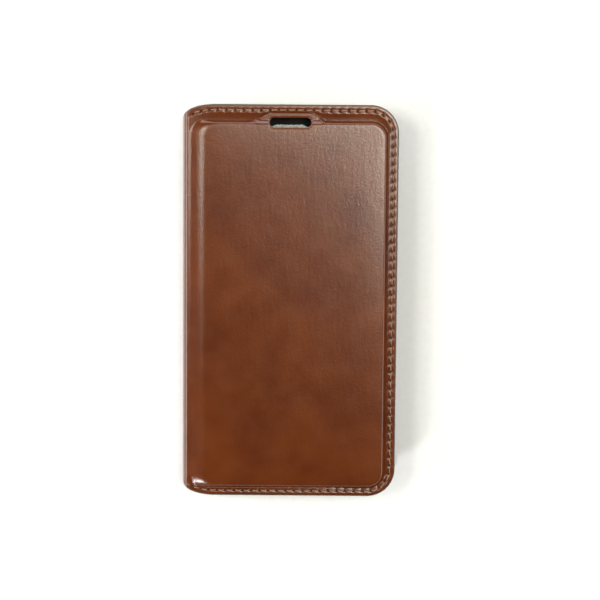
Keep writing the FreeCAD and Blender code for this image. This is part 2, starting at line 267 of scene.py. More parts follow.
SKIN_FOLD = make_fold(MARGIN_Z, BEND_R, BULGE_R)
LINING_FOLD = make_fold(MARGIN_Z - SKIN - LINING, 0.9, BULGE_R - 2 * SKIN - LINING)
MID_SPINE = SKIN_FOLD["end"]
print("middle of the spine lies", round(FOLD_X - MID_SPINE, 2), "mm past the fold, on the flat sheet")

# %% [markdown]
# ## Rings
# Every outline on a cover, from its cut edge to the crest of its padding, is a ring with the same
# eight parts: top, corner, free side, corner, bottom, corner, spine side, corner.
# Each ring has the same number of points, so rows between two rings make clean four-sided faces.
# The points are spaced by the stitches: eight to a stitch, so that a needle hole falls exactly on a column.

# %% The ring that every outline follows
WAIST_REACH, WAIST_DROP = 13.0, 5.5
WAIST_START = LEFT + WAIST_REACH
CORNER_R = 10.8
SEAM_SIDE, SEAM_TOP, SEAM_LOW, SEAM_R = 2.2, 2.3, 2.2, 8.5
STITCH_PITCH = 3.35
PER_STITCH = 8
FIRST_HOLE = 7                      # columns before the first needle hole
SPINE_COLUMNS = 84
SPINE_PART = 6                      # the ring's part along the middle of the spine


def waist(across):
    """How far the ends drop towards the spine: a quarter of an ellipse in x."""
    x = carry(SKIN_FOLD, across, 0.0)[0]
    reach = np.clip((WAIST_START - x) / WAIST_REACH, 0, 1)
    return WAIST_DROP * (1 - np.sqrt(1 - reach ** 2))


def ring(left, right, low, high, corner, left_corner=None, tongue=0.0, points=None):
    """A closed outline, as (point, across-or-along).

    Straight parts are linear in their share t, corners are quarter circles, and with no
    left_corner the spine's end of the outline follows the waist. The top edge rises in
    a tongue round the earpiece slot.
    """
    side, t = COLUMNS if points is None else points
    turn = t * np.pi / 2
    sin, cos = np.sin(turn), np.cos(turn)
    bottom_right, top_right = low + corner, high - corner
    if left_corner is None:
        start = WAIST_START
        down = left + (start - left) * (1 - t)
        up = left + (start - left) * t
        corner_low = (down, low + waist(down))
        corner_high = (up, high - waist(up))
        side_low, side_high = low + waist(np.array(left)), high - waist(np.array(left))
    else:
        start = left + left_corner
        corner_low = (start - left_corner * sin, low + left_corner * (1 - cos))
        corner_high = (start - left_corner * cos, high - left_corner * (1 - sin))
        side_low, side_high = low + left_corner, high - left_corner
    flat_right = right - corner
    across = [
        start + (flat_right - start) * t, flat_right + corner * sin, right + 0 * t,
        flat_right + corner * cos, flat_right + (start - flat_right) * t, corner_low[0],
        left + 0 * t, corner_high[0],
    ]
    along = [
        high + 0 * t, top_right + corner * cos, top_right + (bottom_right - top_right) * t,
        bottom_right - corner * sin, low + 0 * t, corner_low[1],
        side_low + (side_high - side_low) * t, corner_high[1],
    ]
    picked = np.stack([np.choose(side, across), np.choose(side, along)], axis=-1)
    picked[:, 1] += tongue * tongue_shape(picked[:, 0]) * (side == 0)
    return picked


SLOT_HALF, SLOT_R = 8.05, 1.825     # half the earpiece slot's length, and half its height
SLOT_Y = TOP - 6.9
TONGUE_FLAT, TONGUE_FALL = 0.3, 5.5  # past the slot's end: where the tongue falls from, and to


def ease(a, b, value):
    """0 before a, 1 after b, and a smooth step between."""
    t = np.clip((value - a) / (b - a), 0, 1)
    return t * t * (3 - 2 * t)


def tongue_shape(across):
    """1 over the slot, 0 away from it, and a smooth step at each end."""
    return 1 - ease(SLOT_HALF + TONGUE_FLAT, SLOT_HALF + TONGUE_FALL, np.abs(across))


# %% Spread the columns along the seam
SEAM = dict(left=FOLD_X - 1.6, right=RIGHT - SEAM_SIDE, low=-TOP + SEAM_LOW,
            high=TOP - SEAM_TOP, corner=SEAM_R)
DENSE = 200
dense_t = np.linspace(0, 1, DENSE)
part_length = []
for part in range(8):
    line = ring(**SEAM, points=(np.full(DENSE, part), dense_t))
    part_length.append(np.linalg.norm(np.diff(line, axis=0), axis=1).sum())

sewn_parts = [7, 0, 1, 2, 3, 4, 5]               # from the spine round to the spine again
ends = np.cumsum([0.0] + [part_length[p] for p in sewn_parts])
stitch_count = round((ends[-1] - 2 * FIRST_HOLE * STITCH_PITCH / PER_STITCH) / STITCH_PITCH)
sewn_columns = PER_STITCH * stitch_count + 2 * FIRST_HOLE
seam_at = np.linspace(0, ends[-1], sewn_columns + 1)
COLUMN_STEP = seam_at[1]
which = np.clip(np.searchsorted(ends, seam_at, side="right") - 1, 0, len(sewn_parts) - 1)
share = (seam_at - ends[which]) / (ends[which + 1] - ends[which])
spine_share = np.linspace(0, 1, SPINE_COLUMNS + 1)[1:-1]
COLUMNS = (
    np.concatenate([np.array(sewn_parts)[which], np.full(len(spine_share), SPINE_PART)]),
    np.concatenate([share, spine_share]),
)
column_number = np.arange(len(COLUMNS[0]))
sewn = (column_number >= FIRST_HOLE) & (column_number <= sewn_columns - FIRST_HOLE)
to_hole = np.abs((column_number - FIRST_HOLE + PER_STITCH / 2) % PER_STITCH - PER_STITCH / 2)
FAR_OFF = 99.0
to_hole = np.where(sewn, to_hole * COLUMN_STEP, FAR_OFF)
print(stitch_count, "stitches and", len(column_number), "columns in a ring")

# %% [markdown]
# ## From rings to a closed sheet
# A cover's sheet has a dense band near its edge, where the seam and the slope of the padding are,
# and a calm middle. The band is rows between rings. The middle is filled with triangles that
# grow away from the band, because four-sided columns would bunch up at the small slot.
# The same outline is used for the sheet's other face, so the sheet closes into a solid with no open edge.

# %% Rows between rings, and distances
seam_ring = ring(**SEAM)


def rows_between(a, b, shares):
    """Rows of points part of the way from ring a to ring b."""
    part = np.asarray(shares, float)[:, None, None]
    return a[None] * (1 - part) + b[None] * part


def pill_distance(points, half, radius, middle_y):
    """How far points lie outside a pill: distance to its middle line, less its radius."""
    reach = np.maximum(np.abs(points[..., 0]) - (half - radius), 0.0)
    return np.hypot(reach, points[..., 1] - middle_y) - radius


def rectangle_distance(points, x0, x1, y0, y1, radius):
    """How far points lie outside a rounded rectangle; negative inside it."""
    middle = np.array([(x0 + x1) / 2, (y0 + y1) / 2])
    half = np.array([(x1 - x0) / 2, (y1 - y0) / 2]) - radius
    past = np.abs(points - middle) - half
    outside = np.hypot(*np.moveaxis(np.maximum(past, 0.0), -1, 0))
    return outside + np.minimum(past.max(-1), 0.0) - radius


# %% Fill the middle of a sheet with triangles
THINNED = ((0.8, 3), (2.0, 6))      # how far in each copy of the outline is, and its stride
FIELD_LOW, FIELD_HIGH = 3.4, 2.6    # how far in the even field starts, and ends
FIELD_ROW = 0.87                    # its rows' spacing, as a share of its columns'


def fill_middle(outline, hole, keep, spacing, extra=None):
    """Points and triangles inside an outline and outside a hole ring (or None).

    keep(points) says which of the loose points may stay. Two thinned copies of the outline
    let the triangles grow step by step towards an even field of loose points. extra points
    are added as they are, for a rim that needs more.
    """
    low, high = outline.min(0), outline.max(0)
    centre = (low + high) / 2
    half = (high - low) / 2
    loose = []
    for inset, stride in THINNED:
        loose.append(centre + (outline[::stride] - centre) * (1 - inset / half))
    xs = np.arange(low[0] + FIELD_LOW, high[0] - FIELD_HIGH, spacing)
    ys = np.arange(low[1] + FIELD_LOW, high[1] - FIELD_HIGH, spacing * FIELD_ROW)
    grid = np.stack(np.meshgrid(xs, ys), -1)
    grid[1::2, :, 0] += spacing / 2
    loose.append(grid.reshape(-1, 2))
    loose = np.concatenate(loose)
    loose = loose[keep(loose)]
    if extra is not None:
        loose = np.concatenate([loose, extra])
    fixed = [outline] + ([] if hole is None else [hole])
    edges, start = [], 0
    for loop in fixed:
        number = np.arange(len(loop))
        edges += np.stack([start + number, start + (number + 1) % len(loop)], -1).tolist()
        start += len(loop)
    points = np.concatenate(fixed + [loose])
    made = delaunay_2d_cdt([Vector(p) for p in points], edges, [], 1, 1e-7)
    first = np.array([o[0] for o in made[3]])
    faces = first[np.array(made[2])]
    if hole is not None:
        in_hole = (faces >= len(outline)) & (faces < len(outline) + len(hole))
        faces = faces[~in_hole.all(1)]
    return points, faces


def hole_ring(x0, x1, y0, y1, radius, count=16):
    """A rounded rectangle as a plain loop of points, clockwise from above."""
    turn = np.linspace(0, np.pi / 2, count)
    corners = []
    for cx, cy, start in ((x1 - radius, y1 - radius, 0), (x1 - radius, y0 + radius, 1),
                          (x0 + radius, y0 + radius, 2), (x0 + radius, y1 - radius, 3)):
        angle = np.pi / 2 - start * np.pi / 2 - turn
        corners.append(np.stack([cx + radius * np.cos(angle), cy + radius * np.sin(angle)], -1))
    loop = np.concatenate(corners)
    gap = np.linalg.norm(np.roll(loop, -1, 0) - loop, axis=1)
    pieces = [loop[i] + (np.roll(loop, -1, 0)[i] - loop[i]) * s
              for i in range(len(loop)) if gap[i] > 1e-6
              for s in np.linspace(0, 1, max(1, int(gap[i] / 0.6)), endpoint=False)]
    return np.array(pieces)


# %% Make a mesh object from flat-sheet points
def quads(rows, columns, first, closed_rows=False):
    """Four-sided faces of a grid whose columns go round and whose rows may too."""
    r = np.arange(rows if closed_rows else rows - 1)[:, None]
    c = np.arange(columns)[None]
    a = first + r * columns + c
    b = first + r * columns + (c + 1) % columns
    below = first + ((r + 1) % rows) * columns
    return np.stack([a, b, below + (c + 1) % columns, below + c], -1).reshape(-1, 4)


def new_object(name, points_mm, faces, masks=None, flat=None, sharp_deg=40):
    """A mesh object at the origin; faces is a list of arrays of three or four corners."""
    mesh = bpy.data.meshes.new(name)
    mesh.from_pydata((points_mm * MM).tolist(), [], [f for part in faces for f in part.tolist()])
    for key, values in (masks or {}).items():
        layer = mesh.attributes.new(key, "FLOAT", "POINT")
        layer.data.foreach_set("value", np.asarray(values, np.float32))
    if flat is not None:
        corner = np.zeros(len(mesh.loops), np.int32)
        mesh.loops.foreach_get("vertex_index", corner)
        mesh.uv_layers.new(name="flat_sheet").data.foreach_set(
            "uv", (flat[corner] * MM).astype(np.float32).ravel())
    mesh.polygons.foreach_set("use_smooth", np.ones(len(mesh.polygons), bool))
    mesh.set_sharp_from_angle(angle=np.radians(sharp_deg))
    mesh.validate()
    piece = bpy.data.objects.new(name, mesh)
    bpy.context.scene.collection.objects.link(piece)
    return piece


# %% Close two faces of a sheet into one solid
def closed_sheet(name, fold, band, band_lift, middle, masks=None, inward=False, back=False):
    """A sheet as one solid: band rows, then its middle's near face and far face.

    band is (rows, columns, 2) flat points that start at the middle's outline on the near
    face, go out over the edge and come back to the same outline on the far face, and
    band_lift is their lift. middle holds the fill's points, triangles, the number of points
    in its hole and the lifts of both faces. inward turns the near face to the inside of the
    case, and back puts the sheet on the back cover, mirrored in the case's middle plane.
    """
    rows, columns = band_lift.shape
    points, triangles, hole = middle["points"], middle["faces"], middle["hole"]
    loose = points[columns:]
    flat = np.concatenate([band.reshape(-1, 2), loose, loose])
    lift = np.concatenate([band_lift.ravel(), middle["near"][columns:], middle["far"][columns:]])
    first_near = rows * columns
    first_far = first_near + len(loose)
    near = np.concatenate([np.arange(columns), first_near + np.arange(len(loose))])
    far = np.concatenate([np.arange(first_near - columns, first_near),
                          first_far + np.arange(len(loose))])
    a, b, c = (points[triangles[:, i]] for i in range(3))
    turn = (b[:, 0] - a[:, 0]) * (c[:, 1] - a[:, 1]) - (c[:, 0] - a[:, 0]) * (b[:, 1] - a[:, 1])
    upward = np.where((turn > 0)[:, None], triangles, triangles[:, ::-1])
    parts = [quads(rows, columns, 0), near[upward], far[upward[:, ::-1]]]
    if hole:
        rim = np.arange(columns, columns + hole)
        up, down = near[rim], far[rim]
        parts.append(np.stack([up, down, np.roll(down, -1), np.roll(up, -1)], -1))
    x, z = carry(fold, flat[:, 0], -lift if inward else lift)
    xyz = np.stack([x, flat[:, 1], 2 * MIDDLE_Z - z if back else z], -1)
    if inward != back:
        parts = [part[:, ::-1] for part in parts]
    on_sheet = flat.copy()
    if back:
        on_sheet[:, 0] = 2 * MID_SPINE - flat[:, 0]
    full = {key: np.concatenate([mask.ravel(), np.zeros(2 * len(loose))])
            for key, mask in (masks or {}).items()}
    return new_object(name, xyz, parts, full, on_sheet)


# %% [markdown]
# ## The seam's mark on the leather
# A sewn edge isn't flat. The thread pulls the leather into a shallow groove, each needle hole is a small
# pit, and the leather puffs up a little between the holes, on both sides of the groove.
# These are worked out from two distances: how far a point is from the seam, and from the nearest hole.

# %% Seam relief, and the edge that is rounded and painted
PIT, GROOVE, PUFF = 0.45, 0.12, 0.07  # depth of a pit and of the groove, and height of a puff


def seam_relief(rows, strength=1.0):
    """Lift of the leather near the seam, and a mask of its needle holes.

    groove + pits + puffs, each a bell curve of the distance to the seam and to a hole.
    """
    off = np.linalg.norm(rows - seam_ring[None], axis=-1)
    hole = to_hole[None]
    near_ends = ease(0, 6, np.minimum(column_number, sewn_columns - column_number))
    near_ends = np.where(column_number <= sewn_columns, near_ends, 0)[None]
    pit = np.exp(-(hole / 0.50) ** 2 - (off / 0.48) ** 2)
    groove = np.exp(-(off / 0.55) ** 2) * near_ends
    puff = (1 - np.exp(-(hole / 0.8) ** 2)) * np.exp(-((off - 0.95) / 0.45) ** 2) * near_ends
    return strength * (PUFF * puff - GROOVE * groove - PIT * pit), pit


def edge_rows(outline, round_in, round_down, thickness, steps=5):
    """Rows over a cut edge: a quarter ellipse down from the face, then the far face's rim."""
    turn = np.linspace(0, np.pi / 2, steps + 1)[1:]
    rows = [outline(round_in * (1 - np.sin(a))) for a in turn]
    lifts = [np.full(len(rows[0]), -round_down * (1 - np.cos(a))) for a in turn]
    rows += [outline(0.0), outline(0.12)]
    lifts += [np.full(len(rows[0]), -thickness + 0.1), np.full(len(rows[0]), -thickness)]
    lifts = np.array(lifts)
    at_spine = COLUMNS[0] == SPINE_PART
    lifts[:steps, at_spine] = 0.0
    return np.array(rows), lifts


def painted(band_rows, first, last):
    """The mask of edge paint: full on the given rows, and none at the middle of the spine."""
    mask = np.zeros((band_rows, len(column_number)))
    mask[first:last] = 1.0
    mask[:, COLUMNS[0] == SPINE_PART] = 0.0
    return mask


def skin_outline(inset, spare=0.0):
    """The cut edge of a cover's sheet, this far in; spare trims it a little more."""
    i = inset + spare
    return ring(MID_SPINE + inset, RIGHT - i, -TOP + i, TOP - i, CORNER_R - i)


# %% [markdown]
# ## The front's padded skin
# The front skin is drawn down over board and foam, so a flat panel with soft shoulders stands inside a
# thin margin. The shoulder is steep at the top, the bottom and the free side, and it rolls down broadly
# towards the spine. Round the earpiece slot the board makes a low tongue, so the edge steps round it.

# %% The panel's rings and its height
PANEL_FOOT = dict(left=FOLD_X - 0.1, right=foam_high[0] + 1.1, low=foam_low[1] - 1.0,
                  high=foam_high[1] + 1.0, corner=6.4, left_corner=5.6)
PANEL_CREST = dict(left=foam_low[0] + 4.2, right=foam_high[0] - 0.3, low=foam_low[1] + 0.5,
                   high=foam_high[1] - 0.5, corner=5.4, left_corner=4.6)
TONGUE_FOOT, TONGUE_CREST = 3.1, 3.9
TONGUE_REACH, TONGUE_BASE = 16, 60  # half the box that holds the tongue, and its lower end
PANEL_RISE, PANEL_CROWN, TONGUE_RISE = 1.85, 0.34, 0.75
CROWN_SIDE, CROWN_END = 7, 9        # how fast the crown dies away towards the sides and the ends


def panel_height(points):
    """Lift of the padded panel: its rise and a pillow that dies away at the sides. Past the
    panel's own end it falls to the tongue, which is lower."""
    x, y = points[..., 0], points[..., 1]
    side = np.minimum(x - PANEL_CREST["left"], PANEL_CREST["right"] - x)
    end = np.minimum(y - PANEL_CREST["low"], PANEL_CREST["high"] - y)
    pillow = 1 - np.exp(-np.maximum(side, 0) / CROWN_SIDE)
    pillow = pillow * (1 - np.exp(-np.maximum(end, 0) / CROWN_END))
    fall = ease(PANEL_CREST["high"] - 0.1, PANEL_FOOT["high"] + 0.2, y)
    return (PANEL_RISE + PANEL_CROWN * pillow) * (1 - fall) + TONGUE_RISE * fall


def shoulder(share):
    """Height of the shoulder from crest (0) to foot (1), level at first, steepest near the foot:
    what is left of the way, to a power, times a line that rises along it."""
    return (1 - share) ** 1.2 * (1 + 1.2 * share)


# %% The band that both skins share
SHOULDER_SHARES = np.array([0, 0.08, 0.17, 0.27, 0.38, 0.5, 0.62, 0.74, 0.86])
FOOT_SHARES = np.array([0, 0.18, 0.36, 0.52, 0.66, 0.78, 0.89])
HEM_SHARES = np.array([0, 0.09, 0.19, 0.3, 0.42, 0.55, 0.7, 0.85, 1.0])
EDGE_IN, EDGE_DOWN = 0.55, 0.5
RIM_RISE = 0.34
RIM_COLUMNS = (2, 34)               # the rim rises over these columns, counted from the spine


def rim_ramp(rows_count):
    """The sewn rim stands a little higher than the valley by the panel; none at the spine."""
    from_spine = np.minimum(column_number, sewn_columns - column_number)
    return np.ones((rows_count, 1)) * (RIM_RISE * ease(*RIM_COLUMNS, from_spine))[None]


def skin_band(crest, foot, crest_lift, strength=1.0):
    """Rows of a skin from its panel's crest, down the shoulder, across the seam, over the
    edge and back underneath, with their lifts and the masks of holes and edge paint."""
    slope = rows_between(crest, foot, SHOULDER_SHARES)
    slope_lift = crest_lift[None] * shoulder(SHOULDER_SHARES)[:, None]
    inner = rows_between(foot, seam_ring, FOOT_SHARES)
    hem = rows_between(seam_ring, skin_outline(EDGE_IN), HEM_SHARES)
    over, over_lift = edge_rows(skin_outline, EDGE_IN, EDGE_DOWN, SKIN)
    back_up = SHOULDER_SHARES[[8, 6, 4, 2, 0]]
    under = np.concatenate([np.stack([seam_ring, foot]), rows_between(crest, foot, back_up)])
    under_lift = np.concatenate([np.zeros((2, len(crest))),
                                 crest_lift[None] * shoulder(back_up)[:, None]]) - SKIN
    inner_relief, inner_holes = seam_relief(inner, strength)
    hem_relief, hem_holes = seam_relief(hem, strength)
    hem_relief[-1] = 0
    inner_relief += rim_ramp(len(inner)) * ease(0.1, 0.95, FOOT_SHARES)[:, None]
    hem_relief += rim_ramp(len(hem))
    over_lift[:-2] += rim_ramp(len(over) - 2)
    band = np.concatenate([slope, inner, hem, over, under])
    lift = np.concatenate([slope_lift, inner_relief, hem_relief, over_lift, under_lift])
    holes = np.zeros(lift.shape)
    sewn_rows = slice(len(slope), len(slope) + len(inner) + len(hem))
    holes[sewn_rows] = np.concatenate([inner_holes, hem_holes])
    paint = painted(len(lift), sewn_rows.stop, len(lift) - len(under))
    return band, lift, dict(needle_holes=holes, edge_paint=paint)


# %% Lay the front skin
def inside_crest(points, gap):
    """Points at least this far inside the crest ring, its tongue included."""
    box = PANEL_CREST
    body = rectangle_distance(points, box["left"], box["right"], box["low"], box["high"],
                              box["corner"])
    top = box["high"] + TONGUE_CREST * tongue_shape(points[:, 0]) - gap
    tongue = (np.abs(points[:, 0]) < TONGUE_REACH) & (points[:, 1] < top)
    tongue = tongue & (points[:, 1] > TONGUE_BASE)
    return (body < -gap) | tongue


def slot_away(points):
    """How far points lie outside the earpiece slot."""
    return pill_distance(points, SLOT_HALF, SLOT_R, SLOT_Y)


def slot_loop(grow=0.0):
    """The slot's outline, grown by this much."""
    return hole_ring(-SLOT_HALF - grow, SLOT_HALF + grow, SLOT_Y - SLOT_R - grow,
                     SLOT_Y + SLOT_R + grow, SLOT_R + grow - 1e-3)


slot_rim = slot_loop()
rim_points = np.concatenate([slot_loop(g) for g in (0.12, 0.28, 0.5)])
TONGUE_FINE = 14.2                  # the tongue's own even points reach this far to each side
tongue_x = np.arange(-TONGUE_FINE, TONGUE_FINE + 0.1, 0.55)
tongue_y = np.arange(PANEL_CREST["high"] - 1.2, PANEL_CREST["high"] + TONGUE_CREST, 0.3)
tongue_points = np.stack(np.meshgrid(tongue_x, tongue_y), -1).reshape(-1, 2)
tongue_points = tongue_points[pill_distance(tongue_points, SLOT_HALF, SLOT_R, SLOT_Y) > 0.65]
rim_points = np.concatenate([rim_points, tongue_points])
rim_points = rim_points[inside_crest(rim_points, 0.18)]
crest_ring = ring(**PANEL_CREST, tongue=TONGUE_CREST)
foot_ring = ring(**PANEL_FOOT, tongue=TONGUE_FOOT)


def in_calm_front(points):
    """Where the front's even points may lie: inside the crest, off the slot and the tongue."""
    off_tongue = np.abs(points[:, 0]) > TONGUE_FINE + 0.2
    off_tongue = off_tongue | (points[:, 1] < tongue_y[0] - 0.3)
    return inside_crest(points, 0.4) & (slot_away(points) > 0.75) & off_tongue


points, triangles = fill_middle(crest_ring, slot_rim, in_calm_front, 1.9, rim_points)
pressed = 0.32 * np.exp(-(np.maximum(slot_away(points), 0) / 0.22) ** 2)
front_middle = dict(points=points, faces=triangles, hole=len(slot_rim),
                    near=panel_height(points) - pressed, far=panel_height(points) - SKIN)
band, lift, masks = skin_band(crest_ring, foot_ring, panel_height(crest_ring))
front_skin = closed_sheet("front_skin", SKIN_FOLD, band, lift, front_middle, masks)
print("front skin:", len(front_skin.data.polygons), "faces")

# %% [markdown]
# ## The back skin
# The back has the same outline and seam. Its panel is only the thickness of its board, with no foam,
# and it is what the case rests on. A tall opening with round corners lets the phone's camera see out.

# %% Lay the back skin
CAMERA_OPENING = (-8.0, 8.0, 38.5, 65.5, 5.0)
BACK_FOOT = dict(PANEL_FOOT, left=FOLD_X + 1.0, left_corner=6.0)
BACK_CREST = dict(left=FOLD_X + 2.4, right=PANEL_FOOT["right"] - 1.2, low=PANEL_FOOT["low"] + 1.2,
                  high=PANEL_FOOT["high"] - 1.2, corner=5.4, left_corner=4.8)
BACK_RISE = spine_low[2]            # the margin stands this far off the ground


def camera_loop(grow=0.0):
    """The camera opening's outline, grown by this much."""
    x0, x1, y0, y1, radius = CAMERA_OPENING
    return hole_ring(x0 - grow, x1 + grow, y0 - grow, y1 + grow, radius + grow)


def camera_away(points):
    """How far points lie outside the camera opening."""
    return rectangle_distance(points, *CAMERA_OPENING)


def inside_ring_box(box, gap):
    """A test that says which points lie at least this far inside a crest's rectangle."""
    return lambda p: rectangle_distance(
        p, box["left"], box["right"], box["low"], box["high"], box["corner"]) < -gap


back_crest_ring = ring(**BACK_CREST)
in_back = inside_ring_box(BACK_CREST, 0.4)
camera_rim = camera_loop()
rim_points = np.concatenate([camera_loop(g) for g in (0.15, 0.35, 0.7)])
points, triangles = fill_middle(
    back_crest_ring, camera_rim, lambda p: in_back(p) & (camera_away(p) > 1.2), 2.6, rim_points)
pressed = 0.3 * np.exp(-(np.maximum(camera_away(points), 0) / 0.28) ** 2)
back_middle = dict(points=points, faces=triangles, hole=len(camera_rim),
                   near=BACK_RISE - pressed, far=np.full(len(points), BACK_RISE - SKIN))
band, lift, masks = skin_band(back_crest_ring, ring(**BACK_FOOT),
                              np.full(len(back_crest_ring), BACK_RISE))
back_skin = closed_sheet("back_skin", SKIN_FOLD, band, lift, back_middle, masks, back=True)
print("back skin:", len(back_skin.data.polygons), "faces")

# %% [markdown]
# ## Linings
# Inside, one sheet of soft lining covers the boards from cover to cover and turns the corner at the spine.
# It is sewn in the same seam as the skin, so it has the same needle holes from the other side.
# The lining of the front has the earpiece slot, and the lining of the back has the camera opening.

# %% One flat sheet with a seam, a hole and a bend
CALM_IN, CALM_R, CALM_LEFT = 4.0, 6.8, FOLD_X + 1.5  # the outline of a sheet's calm middle
SIDE_GAP = 0.12                     # a lining is cut this much smaller than its skin


def flat_sheet(name, fold, outline, thickness, hole, keep, inward, back=False, inner_left=None,
               dimple=0.8, extra=None):
    """A level sheet, closed, whose near face carries the seam's mark.

    Its middle starts about 4 mm in from the cut edge; the seam ring is only used where the
    sheet is sewn.
    """
    left = CALM_LEFT if inner_left is None else inner_left
    inner = ring(left, RIGHT - CALM_IN, -TOP + CALM_IN, TOP - CALM_IN, CALM_R, left_corner=4.0)
    seam = seam_ring.copy()
    seam[:, 0] = np.maximum(seam[:, 0], outline(0.0)[:, 0].min() + 1.2)
    inside = rows_between(inner, seam, [0, 0.35, 0.62, 0.8, 0.92])
    hem = rows_between(seam, outline(0.3), [0, 0.12, 0.28, 0.5, 0.75, 1.0])
    over, over_lift = edge_rows(outline, 0.3, 0.25, thickness, steps=3)
    under = np.stack([seam, inner])
    relief_in, holes_in = seam_relief(inside, dimple)
    relief_out, holes_out = seam_relief(hem, dimple)
    relief_out[-1] = 0
    band = np.concatenate([inside, hem, over, under])
    lift = np.concatenate([relief_in, relief_out, over_lift, np.full((2, len(inner)), -thickness)])
    holes = np.zeros(lift.shape)
    holes[:len(inside) + len(hem)] = np.concatenate([holes_in, holes_out])
    paint = painted(len(lift), len(inside) + len(hem), len(lift) - 2)
    points, faces = fill_middle(inner, hole, keep, 3.2, extra)
    middle = dict(points=points, faces=faces, hole=0 if hole is None else len(hole),
                  near=np.zeros(len(points)), far=np.full(len(points), -thickness))
    return closed_sheet(name, fold, band, lift, middle, dict(needle_holes=holes, edge_paint=paint),
                        inward=inward, back=back)


def lining_outline(inset):
    """The cut edge of a lining, this far in."""
    i = inset + SIDE_GAP
    return ring(LINING_FOLD["end"] + inset, RIGHT - i, -TOP + i, TOP - i, CORNER_R - i)


def inside_lining(gap, x0=CALM_LEFT):
    """A test that says which points lie at least this far inside the calm middle."""
    return lambda p: rectangle_distance(
        p, x0, RIGHT - CALM_IN, -TOP + CALM_IN, TOP - CALM_IN, CALM_R) < -gap


slot_points = np.concatenate([slot_loop(0.5), slot_loop(1.6)[::2]])
slot_points = slot_points[inside_lining(0.3)(slot_points)]
front_lining = flat_sheet(
    "front_inner_lining", LINING_FOLD, lining_outline, LINING, slot_rim,
    lambda p: inside_lining(0.5)(p) & (slot_away(p) > 2.4), inward=True, extra=slot_points)
back_lining = flat_sheet(
    "back_inner_lining", LINING_FOLD, lining_outline, LINING, camera_rim,
    lambda p: inside_lining(0.5)(p) & (camera_away(p) > 1.2), inward=True, back=True)
print("linings:", len(front_lining.data.polygons), "and", len(back_lining.data.polygons), "faces")

# %% [markdown]
# ## Pockets
# The pockets are flat leather panels under the front lining. The first, full-length panel makes the cash
# pocket, and three shorter ones, each a step narrower, make card pockets. Their mouths face the spine.
# A mouth is a turned edge: the leather is folded back on itself, so it is thicker there, and a creased
# line is pressed beside it.

# %% The cash pocket's panel
def level_fold(level):
    """A sheet that stays flat: its bend lies far outside it."""
    return dict(LINING_FOLD, level=level, bend_x=-1e3)


CASH_MOUTH = cash_low[0]
CASH_GAP, CASH_CALM = 0.2, 3.0      # how much smaller its edge is, and its mouth's plain strip


def cash_outline(inset):
    """The cut edge of the cash pocket's panel, this far in."""
    i = inset + CASH_GAP
    return ring(CASH_MOUTH + inset, RIGHT - i, -TOP + i, TOP - i, CORNER_R - i,
                left_corner=2.0 - inset)


cash_pocket = flat_sheet(
    "cash_pocket", level_fold(cash_low[2]), cash_outline, LINING, slot_rim,
    lambda p: inside_lining(0.5, CASH_MOUTH + CASH_CALM)(p) & (slot_away(p) > 2.4), inward=True,
    inner_left=CASH_MOUTH + CASH_CALM, extra=slot_points)
print("cash pocket:", len(cash_pocket.data.polygons), "faces")

# %% A card pocket's panel
CARD_CORNER = 2.0
TURNED_STEP, TURNED_END = 0.10, (3.4, 4.2)      # the turned edge's step, and where it ends
CREASE_DEPTH, CREASE_AT, CREASE_WIDE = 0.16, 1.9, 0.28
RIM_DROP, RIM_WIDE = 0.22, 0.35


